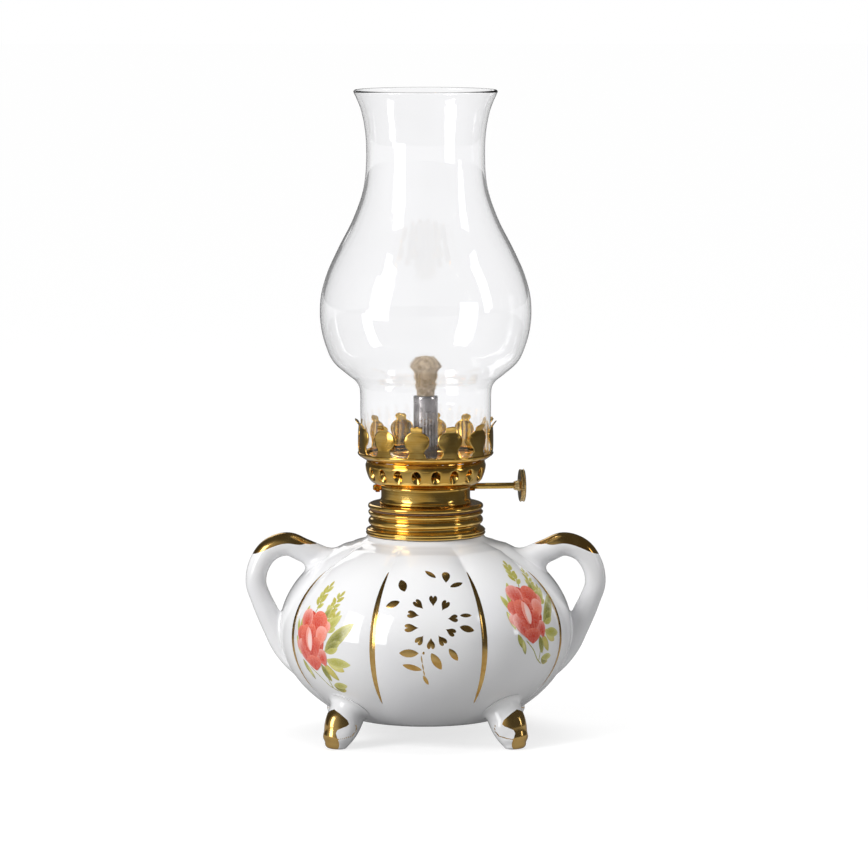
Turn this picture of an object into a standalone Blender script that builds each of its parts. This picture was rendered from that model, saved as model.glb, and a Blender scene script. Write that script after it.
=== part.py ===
"""Miniature porcelain oil lamp: lobed china font, brass burner, wick raiser and glass chimney.

Metres, +Z up. The origin is on the floor under the lamp's axis. The front is -Y and the thumb knob
is on the +X side. Angles round the lamp are measured from the front towards +X.
"""
import math

import bmesh
import bpy
from mathutils import Matrix, Vector

# Overall size.
FONT_HALF_WIDTH = 0.0386
FONT_HALF_DEPTH = 0.0375

# Porcelain font.
FONT_HALF_HEIGHT = 0.027
FONT_CENTRE_Z = 0.028
FONT_BASE_Z = 0.005
SHOULDER_Z = 0.0504
CHINA_WALL = 0.003
FONT_FLOOR_Z = 0.0085
NECK_RADIUS = 0.0152
NECK_FILLET = ((0.0158, 0.0523), (0.0180, 0.0514))
NECK_UNDERSIDE = (0.0114, 0.0512)
RESERVOIR_TOP_Z = 0.0500
SPIGOT_RADIUS = 0.0140
SPIGOT_BOTTOM_Z = 0.0531
SPIGOT_TOP_Z = 0.0550
LOBES = 8
CREASE_DEPTH = 0.0010
CREASE_FADE_BELOW = (0.0060, 0.0140)
CREASE_FADE_ABOVE = (0.0495, 0.0520)
SQUEEZE_START_RADIUS = 0.0200
FONT_STEPS = 48
LUTING_GAP = 0.0003

# Handles: points of the centreline in the X-Z plane, each with the radius of the handle there.
HANDLE_PATH = (
    (0.0270, 0.0445, 0.0031),
    (0.0315, 0.0484, 0.0031),
    (0.0362, 0.0505, 0.0031),
    (0.0410, 0.0490, 0.0030),
    (0.0440, 0.0450, 0.0028),
    (0.0448, 0.0400, 0.0027),
    (0.0427, 0.0345, 0.0028),
    (0.0402, 0.0295, 0.0033),
    (0.0360, 0.0252, 0.0039),
)

# Feet: points of the leg in its own radial plane, as radius from the axis, height and leg radius.
FOOT_ANGLES = {"front_right": 45, "back_right": 135, "back_left": 225, "front_left": 315}
FOOT_PATH = (
    (0.0260, 0.0125, 0.0052),
    (0.0287, 0.0090, 0.0050),
    (0.0309, 0.0054, 0.0045),
    (0.0322, 0.0024, 0.0039),
    (0.0329, -0.0008, 0.0027),
)

# Collar and its cement.
COLLAR_BOTTOM_Z = 0.0534
COLLAR_TOP_Z = 0.0597
COLLAR_OUTSIDE = (
    (0.0148, 0.0597),
    (0.0151, 0.0593),
    (0.0149, 0.0588),
    (0.0144, 0.0582),
    (0.0150, 0.0573),
    (0.0149, 0.0566),
    (0.0144, 0.0557),
    (0.0149, 0.0550),
    (0.01575, 0.0545),
    (0.01575, 0.0534),
)
COLLAR_SOCKET = 0.0149
COLLAR_SOCKET_TOP_Z = 0.0549
COLLAR_BORE = 0.0139
COLLAR_STEP_Z = 0.0553
CEMENT_GAP = 0.00015
CEMENT_WALL = 0.0006
CEMENT_END_GAP = 0.0002
WASHER_INNER = 0.0139
WASHER_OUTER = 0.0147
WASHER_BOTTOM_Z = 0.05982
WASHER_TOP_Z = 0.06008
TURNING_STEPS = 36

# Screw thread between the collar and the burner.
THREAD_PITCH = 0.0025
THREAD_TURNS = 1.1
THREAD_START_Z = 0.0563
COLLAR_THREAD_RADIUS = 0.0134
SKIRT_THREAD_RADIUS = 0.01365
THREAD_ROOT_HALF_WIDTH = 0.00056
THREAD_CREST_HALF_WIDTH = 0.00024
THREAD_ROOTING = 0.0002
THREAD_STEPS = 28

# Burner base, neck and gallery bowl.
BURNER_TURN = math.radians(6.6)
FLANGE_RADIUS = 0.01515
FLANGE_BOTTOM_Z = 0.0602
FLANGE_TOP_Z = 0.0614
FLANGE_FACE_RADIUS = 0.0147
FLANGE_EDGE = 0.0003
FLANGE_FLOOR = 0.0007
SKIRT_RADIUS = 0.0130
SKIRT_WALL = 0.0006
SKIRT_BOTTOM_Z = 0.0558
BURNER_NECK_RADIUS = 0.01175
BURNER_NECK_BOTTOM_Z = 0.0616
BURNER_NECK_TOP_Z = 0.0663
BURNER_NECK_BEAD = 0.00035
BURNER_NECK_BEAD_Z = (0.0627, 0.0622)
SHEET = 0.0005
BOWL_OUTSIDE = (
    (0.0155, 0.0728),
    (0.0158, 0.0719),
    (0.01575, 0.0706),
    (0.0154, 0.0692),
    (0.0148, 0.0679),
    (0.0138, 0.0669),
    (0.0122, 0.0665),
    (0.0090, 0.0665),
)
BOWL_INSIDE = (
    (0.0090, 0.0670),
    (0.0121, 0.0670),
    (0.0134, 0.0674),
    (0.0143, 0.0682),
    (0.0149, 0.0694),
    (0.0152, 0.0707),
    (0.0153, 0.0719),
    (0.0150, 0.0728),
)
BOWL_STEPS = 38
AIR_HOLES = 19
AIR_HOLE_FIRST = math.radians(-15.5)
AIR_HOLE_HALF_WIDTH = 0.0011
AIR_HOLE_HALF_HEIGHT = 0.00175
AIR_HOLE_Z = 0.0693
AIR_HOLE_CUT_RADIUS = 0.0152
AIR_HOLE_CUT_DEPTH = 0.004

# Chimney crown with its prongs, and the deck inside it.
CROWN_RING = (
    (0.01775, 0.0751),
    (0.0179, 0.0748),
    (0.0175, 0.0742),
    (0.0160, 0.0732),
    (0.0152, 0.0730),
    (0.0149, 0.0730),
    (0.0149, 0.0738),
    (0.0154, 0.0751),
)
PRONGS = 12
PRONG_FIRST = math.radians(-14.6)
PRONG_SHEET = 0.00045
PRONG_SHAPE = (
    (0.0745, 0.01745, 0.0017),
    (0.0757, 0.01750, 0.0018),
    (0.0770, 0.01760, 0.0028),
    (0.0787, 0.01770, 0.00325),
    (0.0802, 0.01765, 0.0027),
    (0.0816, 0.01760, 0.0016),
    (0.0826, 0.01800, 0.0015),
    (0.0834, 0.01865, 0.0014),
)
DECK_Z = 0.0738
DECK_RADIUS = 0.0146
DECK_MOUTH = 0.0082

# Wick tube and wick.
TUBE_RADIUS = 0.0032
TUBE_BORE = 0.0026
TUBE_BOTTOM_Z = 0.0570
TUBE_TOP_Z = 0.0900
TUBE_HOLE_GAP = 0.0003
TUBE_SLOT_HALF_WIDTH = 0.0017
TUBE_SLOT_HALF_HEIGHT = 0.0029
TUBE_SLOT_REACH = (0.0012, 0.0050)
WICK_RADIUS = 0.0024
WICK_BOTTOM_Z = 0.0115
WICK_HEAD = (
    (0.0, 0.1008),
    (0.0022, 0.1004),
    (0.0038, 0.0988),
    (0.0044, 0.0968),
    (0.0038, 0.0945),
    (0.0028, 0.0928),
    (0.0024, 0.0918),
)

# Wick raiser: the shaft lies behind the tube, along the burner's own X.
SHAFT_Z = 0.0651
SHAFT_BACK = 0.00485
SHAFT_RADIUS = 0.0008
SHAFT_LEFT_X = -0.0134
SHAFT_RIGHT_X = 0.0272
SHAFT_CLEARANCE = 0.0001
SHAFT_SIDES = 12
WHEEL_RADIUS = 0.0022
WHEEL_ROOT = 0.0016
WHEEL_TEETH = 10
WHEEL_THICKNESS = 0.0008
WHEEL_X = 0.0008
BORE_REACH = 0.0140
SLEEVE_RADIUS = 0.00125
BUSH_X = (0.0098, 0.0136)
BUSH_SEAT_GAP = 0.0003
CLIP_X = (-0.0127, -0.0117)
KNOB_STEPS = 24
KNOB_OUTSIDE = (
    (0.0014, 0.0271),
    (0.0016, 0.0266),
    (0.0033, 0.0266),
    (0.0036, 0.0269),
    (0.0042, 0.0268),
    (0.00435, 0.0265),
    (0.00435, 0.0255),
    (0.0042, 0.0252),
    (0.0020, 0.0252),
    (0.0016, 0.0236),
)

# Glass chimney: points down its outer side, as radius and height.
GLASS_WALL = 0.0011
GLASS_STEPS = 32
GLASS_INNER_RIM_Z = 0.1696
GLASS_OUTER = (
    (0.0186, 0.1700),
    (0.0189, 0.1693),
    (0.0172, 0.1657),
    (0.0159, 0.1600),
    (0.0155, 0.1530),
    (0.0163, 0.1440),
    (0.0190, 0.1362),
    (0.0230, 0.1283),
    (0.0260, 0.1215),
    (0.0275, 0.1155),
    (0.0276, 0.1095),
    (0.0263, 0.1034),
    (0.0243, 0.0990),
    (0.0210, 0.0957),
    (0.0183, 0.0936),
    (0.0172, 0.0912),
    (0.0170, 0.0753),
)


def collection(name):
    """A collection linked to the scene."""
    group = bpy.data.collections.new(name)
    bpy.context.scene.collection.children.link(group)
    return group


def finish(name, colour, roughness, metallic=0.0, transmission=0.0):
    """A plain Principled material."""
    material = bpy.data.materials.new(name)
    material.use_nodes = True
    shader = material.node_tree.nodes["Principled BSDF"]
    shader.inputs["Base Color"].default_value = (*colour, 1.0)
    shader.inputs["Roughness"].default_value = roughness
    shader.inputs["Metallic"].default_value = metallic
    shader.inputs["Transmission Weight"].default_value = transmission
    return material


def place(obj, material):
    """Gives an object its one material."""
    obj.data.materials.clear()
    obj.data.materials.append(material)
    return obj


def add_object(name, data, group):
    """A new object in a collection."""
    obj = bpy.data.objects.new(name, data)
    group.objects.link(obj)
    return obj


def around(angle, radius, height):
    """The point at an angle from the front towards +X."""
    return Vector((radius * math.sin(angle), -radius * math.cos(angle), height))


def turned(name, profile, steps, group, ring=True):
    """A turned piece: a profile down its outer side, with a Screw modifier round Z."""
    mesh = bpy.data.meshes.new(name)
    edges = [(i, i + 1) for i in range(len(profile) - 1)]
    if ring:
        edges.append((len(profile) - 1, 0))
    mesh.from_pydata([(radius, 0.0, height) for radius, height in profile], edges, [])
    obj = add_object(name, mesh, group)
    screw = obj.modifiers.new("Turn", "SCREW")
    screw.steps = steps
    screw.render_steps = steps
    screw.use_merge_vertices = True
    screw.merge_threshold = 0.00001
    screw.use_smooth_shade = True
    return obj


def baked(obj):
    """Turns an object with its modifiers, or a curve, into a plain welded mesh object."""
    depsgraph = bpy.context.evaluated_depsgraph_get()
    mesh = bpy.data.meshes.new_from_object(obj.evaluated_get(depsgraph))
    work = bmesh.new()
    work.from_mesh(mesh)
    bmesh.ops.remove_doubles(work, verts=work.verts, dist=0.00001)
    bmesh.ops.recalc_face_normals(work, faces=work.faces)
    work.to_mesh(mesh)
    work.free()
    name = obj.name
    matrix = obj.matrix_world.copy()
    group = obj.users_collection[0]
    bpy.data.objects.remove(obj)
    solid = add_object(name, mesh, group)
    solid.matrix_world = matrix
    return solid


def combine(target, cutter, operation):
    """Adds a Boolean with a hidden cutter."""
    boolean = target.modifiers.new(cutter.name, "BOOLEAN")
    boolean.operation = operation
    boolean.solver = "EXACT"
    boolean.object = cutter
    cutter.hide_render = True
    cutter.display_type = "WIRE"
    return target


def rod(name, start, end, radius, sides, group):
    """A plain round bar between two points."""
    mesh = bpy.data.meshes.new(name)
    work = bmesh.new()
    bmesh.ops.create_cone(
        work, cap_ends=True, segments=sides, radius1=radius, radius2=radius, depth=(end - start).length
    )
    turn = Vector((0, 0, 1)).rotation_difference(end - start).to_matrix().to_4x4()
    work.transform(Matrix.Translation((start + end) / 2) @ turn)
    work.to_mesh(mesh)
    work.free()
    return add_object(name, mesh, group)


def block(name, low, high, group):
    """A plain box between two corners."""
    mesh = bpy.data.meshes.new(name)
    work = bmesh.new()
    bmesh.ops.create_cube(work, size=1.0)
    size = high - low
    work.transform(Matrix.Translation((low + high) / 2) @ Matrix.Diagonal((*size, 1.0)))
    work.to_mesh(mesh)
    work.free()
    return add_object(name, mesh, group)


def tapered_tube(name, points, sides, resolution, group):
    """A smooth round tube through points that each carry a radius."""
    curve = bpy.data.curves.new(name, "CURVE")
    curve.dimensions = "3D"
    curve.bevel_depth = 1.0
    curve.bevel_resolution = sides
    curve.use_fill_caps = True
    curve.resolution_u = resolution
    spline = curve.splines.new("BEZIER")
    spline.bezier_points.add(len(points) - 1)
    for knot, (place_at, radius) in zip(spline.bezier_points, points):
        knot.co = place_at
        knot.radius = radius
        knot.handle_left_type = "AUTO"
        knot.handle_right_type = "AUTO"
    return baked(add_object(name, curve, group))


def smooth_step(value, low, high):
    """0 below low, 1 above high, eased between."""
    share = min(max((value - low) / (high - low), 0.0), 1.0)
    return share * share * (3 - 2 * share)


def lobed(obj, inner_radius):
    """Presses the creases into a turned font and narrows it front to back, outside inner_radius only."""
    flattening = 1 - FONT_HALF_DEPTH / FONT_HALF_WIDTH
    for vertex in obj.data.vertices:
        x, y, z = vertex.co
        radius = math.hypot(x, y)
        if radius < 1e-6:
            continue
        angle = math.atan2(x, -y)
        lobe = angle * LOBES / math.tau
        across = abs(2 * (lobe - round(lobe)))
        level = smooth_step(z, *CREASE_FADE_BELOW) * (1 - smooth_step(z, *CREASE_FADE_ABOVE))
        depth = CREASE_DEPTH * across**3 * level if radius > inner_radius(z) else 0.0
        squeeze = 1 - flattening * smooth_step(radius, SQUEEZE_START_RADIUS, FONT_HALF_WIDTH - CHINA_WALL)
        share = (radius - depth) / radius
        vertex.co = (x * share, y * share * squeeze, z)
    return obj


def spheroid_arc(half_width, half_height, top_z, bottom_z, count):
    """Points down the side of an upright spheroid between two heights."""
    top = math.asin(max(min((top_z - FONT_CENTRE_Z) / half_height, 1.0), -1.0))
    bottom = math.asin(max(min((bottom_z - FONT_CENTRE_Z) / half_height, 1.0), -1.0))
    angles = [top + (bottom - top) * i / (count - 1) for i in range(count)]
    return [(half_width * math.cos(a), FONT_CENTRE_Z + half_height * math.sin(a)) for a in angles]


def middle_of_wall(z):
    """The radius halfway through the font's wall at a height."""
    rise = (z - FONT_CENTRE_Z) / (FONT_HALF_HEIGHT - CHINA_WALL / 2)
    return (FONT_HALF_WIDTH - CHINA_WALL / 2) * math.sqrt(max(1 - rise * rise, 0.0))


def make_font(group, china):
    """The hollow china font: lobed outside, smooth inside, open at the neck."""
    profile = [(SPIGOT_RADIUS, SPIGOT_TOP_Z), (SPIGOT_RADIUS, SPIGOT_BOTTOM_Z)]
    profile += [(NECK_RADIUS, SPIGOT_BOTTOM_Z), *NECK_FILLET]
    profile += spheroid_arc(FONT_HALF_WIDTH, FONT_HALF_HEIGHT, SHOULDER_Z, FONT_BASE_Z, 12)
    profile += [(0.0, FONT_BASE_Z), (0.0, FONT_FLOOR_Z)]
    inside = spheroid_arc(
        FONT_HALF_WIDTH - CHINA_WALL, FONT_HALF_HEIGHT - CHINA_WALL, RESERVOIR_TOP_Z, FONT_FLOOR_Z, 8
    )
    profile += inside[::-1]
    profile += [NECK_UNDERSIDE, (NECK_UNDERSIDE[0], SPIGOT_TOP_Z)]
    font = baked(turned("font_shell", profile, FONT_STEPS, group))
    return place(lobed(font, middle_of_wall), china)


def make_font_cutter(cutters):
    """The font's outside grown by the luting gap, as a filled form."""
    bottom = FONT_BASE_Z - LUTING_GAP
    half_width = FONT_HALF_WIDTH + LUTING_GAP
    half_height = FONT_HALF_HEIGHT + LUTING_GAP
    profile = [(0.0, SPIGOT_BOTTOM_Z)]
    profile += spheroid_arc(half_width, half_height, SHOULDER_Z, bottom, 16)
    profile += [(0.0, bottom)]
    form = baked(turned("font_form", profile, FONT_STEPS, cutters, ring=False))
    return lobed(form, lambda z: 0.0)


def make_handle(name, side, form, group, china):
    """One loop handle in the X-Z plane, trimmed to the font's wall."""
    points = [(Vector((side * x, 0.0, z)), radius) for x, z, radius in HANDLE_PATH]
    handle = tapered_tube(name, points, 3, 3, group)
    return combine(place(handle, china), form, "DIFFERENCE")


def make_foot(name, angle, form, floor, group, china):
    """One scroll foot, trimmed to the font above and flat on the floor."""
    points = [(around(angle, r, z), radius) for r, z, radius in FOOT_PATH]
    foot = tapered_tube(name, points, 3, 3, group)
    combine(place(foot, china), form, "DIFFERENCE")
    return combine(foot, floor, "DIFFERENCE")


def thread_ridge(name, root, crest, start_angle, cutters):
    """A helical ridge of trapezoid section between two radii, with its ends closed."""
    low = THREAD_ROOT_HALF_WIDTH
    high = THREAD_CREST_HALF_WIDTH
    section = [(root, low), (crest, high), (crest, -high), (root, -low)]
    if crest < root:
        section.reverse()
    mesh = bpy.data.meshes.new(name)
    mesh.from_pydata([(r, 0.0, z) for r, z in section], [(0, 1), (1, 2), (2, 3), (3, 0)], [])
    obj = add_object(name, mesh, cutters)
    screw = obj.modifiers.new("Helix", "SCREW")
    screw.angle = math.tau * THREAD_TURNS
    screw.screw_offset = THREAD_PITCH * THREAD_TURNS
    screw.steps = THREAD_STEPS
    screw.render_steps = THREAD_STEPS
    ridge = baked(obj)
    work = bmesh.new()
    work.from_mesh(ridge.data)
    bmesh.ops.holes_fill(work, edges=work.edges)
    bmesh.ops.recalc_face_normals(work, faces=work.faces)
    work.transform(Matrix.Translation((0, 0, THREAD_START_Z)) @ Matrix.Rotation(start_angle, 4, "Z"))
    work.to_mesh(ridge.data)
    work.free()
    return ridge


def make_collar(group, cutters, brass):
    """The rolled collar: beads outside, socket for the china below, female thread above."""
    profile = [*COLLAR_OUTSIDE, (COLLAR_SOCKET, COLLAR_BOTTOM_Z), (COLLAR_SOCKET, COLLAR_SOCKET_TOP_Z)]
    profile += [(COLLAR_BORE, COLLAR_STEP_Z), (COLLAR_BORE, COLLAR_TOP_Z)]
    collar = turned("collar", profile, TURNING_STEPS, group)
    root = COLLAR_BORE + THREAD_ROOTING
    ridge = thread_ridge("collar_thread", root, COLLAR_THREAD_RADIUS, 0.0, cutters)
    return combine(place(collar, brass), ridge, "UNION")


def make_collar_cement(group, plaster):
    """The plaster ring between the china spigot and the collar."""
    inner = SPIGOT_RADIUS + CEMENT_GAP
    outer = inner + CEMENT_WALL
    top = COLLAR_SOCKET_TOP_Z - CEMENT_END_GAP
    bottom = COLLAR_BOTTOM_Z + CEMENT_END_GAP
    profile = [(outer, top), (outer, bottom), (inner, bottom), (inner, top)]
    return place(turned("collar_cement", profile, TURNING_STEPS, group), plaster)


def make_seal_washer(group, fibre):
    """The thin fibre washer between the collar's lip and the flange."""
    profile = [(WASHER_OUTER, WASHER_TOP_Z), (WASHER_OUTER, WASHER_BOTTOM_Z)]
    profile += [(WASHER_INNER, WASHER_BOTTOM_Z), (WASHER_INNER, WASHER_TOP_Z)]
    return place(turned("seal_washer", profile, TURNING_STEPS, group), fibre)


def make_burner_base(group, cutters, brass):
    """The flange disc with its floor and its threaded skirt."""
    floor_z = FLANGE_TOP_Z - FLANGE_FLOOR
    hole = TUBE_RADIUS + TUBE_HOLE_GAP
    inner = SKIRT_RADIUS - SKIRT_WALL
    profile = [(hole, FLANGE_TOP_Z), (FLANGE_FACE_RADIUS, FLANGE_TOP_Z)]
    profile += [(FLANGE_RADIUS, FLANGE_TOP_Z - FLANGE_EDGE), (FLANGE_RADIUS, FLANGE_BOTTOM_Z + FLANGE_EDGE)]
    profile += [(FLANGE_FACE_RADIUS, FLANGE_BOTTOM_Z), (SKIRT_RADIUS, FLANGE_BOTTOM_Z)]
    profile += [(SKIRT_RADIUS, SKIRT_BOTTOM_Z), (inner, SKIRT_BOTTOM_Z), (inner, floor_z), (hole, floor_z)]
    base = turned("burner_base", profile, TURNING_STEPS, group)
    ridge = thread_ridge(
        "skirt_thread", SKIRT_RADIUS - THREAD_ROOTING, SKIRT_THREAD_RADIUS, math.pi, cutters
    )
    return combine(place(base, brass), ridge, "UNION")


def make_burner_neck(group, brass, bore):
    """The neck between the flange and the bowl, drilled through for the shaft."""
    outer = BURNER_NECK_RADIUS
    inner = outer - SHEET
    bead = outer + BURNER_NECK_BEAD
    bead_top, bead_edge = BURNER_NECK_BEAD_Z
    profile = [(outer, BURNER_NECK_TOP_Z), (outer, bead_top), (bead, bead_edge)]
    profile += [(bead, BURNER_NECK_BOTTOM_Z), (inner, BURNER_NECK_BOTTOM_Z), (inner, BURNER_NECK_TOP_Z)]
    neck = turned("burner_neck", profile, TURNING_STEPS, group)
    return combine(place(neck, brass), bore, "DIFFERENCE")


def make_gallery_bowl(group, cutters, brass):
    """The air bowl: thin spun brass with a ring of upright oval holes."""
    bowl = turned("gallery_bowl", BOWL_OUTSIDE + BOWL_INSIDE, BOWL_STEPS, group)
    mesh = bpy.data.meshes.new("air_holes")
    work = bmesh.new()
    for hole in range(AIR_HOLES):
        angle = AIR_HOLE_FIRST + math.tau * hole / AIR_HOLES
        shape = Matrix.Diagonal((AIR_HOLE_HALF_WIDTH, 1.0, AIR_HOLE_HALF_HEIGHT, 1.0))
        lay = Matrix.Rotation(math.pi / 2, 4, "X")
        middle = around(angle, AIR_HOLE_CUT_RADIUS, AIR_HOLE_Z)
        stand = Matrix.Translation(middle) @ Matrix.Rotation(angle, 4, "Z")
        bmesh.ops.create_cone(
            work,
            cap_ends=True,
            segments=8,
            radius1=1.0,
            radius2=1.0,
            depth=AIR_HOLE_CUT_DEPTH,
            matrix=stand @ shape @ lay,
        )
    work.to_mesh(mesh)
    work.free()
    return combine(place(bowl, brass), add_object("air_holes", mesh, cutters), "DIFFERENCE")


def make_prong(name, angle, cutters):
    """One sheet prong: a waist, a cupped urn and a tab that leans out."""
    mesh = bpy.data.meshes.new(name)
    work = bmesh.new()
    rows = []
    for height, radius, half_width in PRONG_SHAPE:
        spread = half_width / radius
        sides = (-1.0, 0.0, 1.0)
        rows.append([work.verts.new(around(angle + spread * s, radius, height)) for s in sides])
    for lower, upper in zip(rows, rows[1:]):
        for left in range(2):
            work.faces.new((lower[left], lower[left + 1], upper[left + 1], upper[left]))
    work.to_mesh(mesh)
    work.free()
    obj = add_object(name, mesh, cutters)
    wall = obj.modifiers.new("Sheet", "SOLIDIFY")
    wall.thickness = PRONG_SHEET
    wall.offset = 0.0
    return baked(obj)


def make_chimney_crown(group, cutters, brass):
    """The crown: a ledge for the glass with twelve prongs round it."""
    crown = turned("chimney_crown", CROWN_RING, TURNING_STEPS, group)
    place(crown, brass)
    prongs = [make_prong(f"prong_{i}", PRONG_FIRST + math.tau * i / PRONGS, cutters) for i in range(PRONGS)]
    work = bmesh.new()
    for prong in prongs:
        work.from_mesh(prong.data)
        bpy.data.objects.remove(prong)
    mesh = bpy.data.meshes.new("prongs")
    work.to_mesh(mesh)
    work.free()
    return combine(crown, add_object("prongs", mesh, cutters), "UNION")


def make_deck_plate(group, brass):
    """The flat deck under the glass, open round the wick tube for the air."""
    top = DECK_Z + SHEET
    profile = [(DECK_RADIUS, top), (DECK_RADIUS, DECK_Z), (DECK_MOUTH, DECK_Z), (DECK_MOUTH, top)]
    return place(turned("deck_plate", profile, TURNING_STEPS, group), brass)


def make_wick_tube(group, cutters, steel):
    """The wick tube, slotted at the back where the wheels reach the wick."""
    profile = [(TUBE_RADIUS, TUBE_TOP_Z), (TUBE_RADIUS, TUBE_BOTTOM_Z)]
    profile += [(TUBE_BORE, TUBE_BOTTOM_Z), (TUBE_BORE, TUBE_TOP_Z)]
    tube = turned("wick_tube", profile, 20, group)
    slot = block(
        "tube_slot",
        Vector((-TUBE_SLOT_HALF_WIDTH, TUBE_SLOT_REACH[0], SHAFT_Z - TUBE_SLOT_HALF_HEIGHT)),
        Vector((TUBE_SLOT_HALF_WIDTH, TUBE_SLOT_REACH[1], SHAFT_Z + TUBE_SLOT_HALF_HEIGHT)),
        cutters,
    )
    slot.parent = tube
    return combine(place(tube, steel), slot, "DIFFERENCE")


def make_wick(group, cotton):
    """The round wick from the font's floor to its teased-out head."""
    profile = [*WICK_HEAD, (WICK_RADIUS, WICK_BOTTOM_Z), (0.0, WICK_BOTTOM_Z)]
    return place(turned("wick", profile, 16, group, ring=False), cotton)


def along_shaft(obj, pivot):
    """Lays a piece turned round Z along the shaft, its top towards the knob."""
    obj.rotation_euler = (0.0, math.pi / 2, 0.0)
    obj.parent = pivot
    return obj


def make_wick_shaft(pivot, group, brass):
    """The spindle."""
    profile = [(0.0, SHAFT_RIGHT_X), (SHAFT_RADIUS, SHAFT_RIGHT_X), (SHAFT_RADIUS, SHAFT_LEFT_X)]
    profile += [(0.0, SHAFT_LEFT_X)]
    shaft = turned("wick_shaft", profile, SHAFT_SIDES, group, ring=False)
    return along_shaft(place(shaft, brass), pivot)


def make_wheel(name, x, pivot, group, brass):
    """A toothed feed wheel on the shaft: a flat star outline with a shaft hole, at x along the shaft."""
    curve = bpy.data.curves.new(name, "CURVE")
    curve.dimensions = "2D"
    curve.fill_mode = "BOTH"
    curve.extrude = WHEEL_THICKNESS / 2
    rim = curve.splines.new("POLY")
    rim.points.add(2 * WHEEL_TEETH - 1)
    for i, point in enumerate(rim.points):
        radius = WHEEL_RADIUS if i % 2 else WHEEL_ROOT
        angle = math.pi * i / WHEEL_TEETH
        point.co = (radius * math.cos(angle), radius * math.sin(angle), 0.0, 1.0)
    rim.use_cyclic_u = True
    hole = curve.splines.new("POLY")
    hole.points.add(SHAFT_SIDES - 1)
    for i, point in enumerate(hole.points):
        angle = math.tau * i / SHAFT_SIDES
        radius = (SHAFT_RADIUS + SHAFT_CLEARANCE) / math.cos(math.pi / SHAFT_SIDES)
        point.co = (radius * math.cos(angle), radius * math.sin(angle), 0.0, 1.0)
    hole.use_cyclic_u = True
    wheel = along_shaft(place(baked(add_object(name, curve, group)), brass), pivot)
    wheel.location.x = x
    return wheel


def make_sleeve(name, start, end, group):
    """A short tube round the shaft's axis, still standing on Z."""
    bore = SHAFT_RADIUS + SHAFT_CLEARANCE
    profile = [(SLEEVE_RADIUS, end), (SLEEVE_RADIUS, start), (bore, start), (bore, end)]
    return turned(name, profile, 16, group)


def make_knob(pivot, group, brass):
    """The thumb knob: a milled disc with a hub, closed over the shaft's end."""
    bore = SHAFT_RADIUS + SHAFT_CLEARANCE
    profile = [(bore, SHAFT_RIGHT_X), *KNOB_OUTSIDE, (bore, KNOB_OUTSIDE[-1][1])]
    knob = turned("knob", profile, KNOB_STEPS, group)
    return along_shaft(place(knob, brass), pivot)


def make_chimney(group, glass):
    """The blown chimney, open at both ends."""
    inner = [(radius - GLASS_WALL, height) for radius, height in GLASS_OUTER[2:]]
    rim = [(GLASS_OUTER[0][0] - GLASS_WALL, GLASS_INNER_RIM_Z)]
    profile = list(GLASS_OUTER) + inner[::-1] + rim
    return place(turned("chimney_glass", profile, GLASS_STEPS, group), glass)


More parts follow.
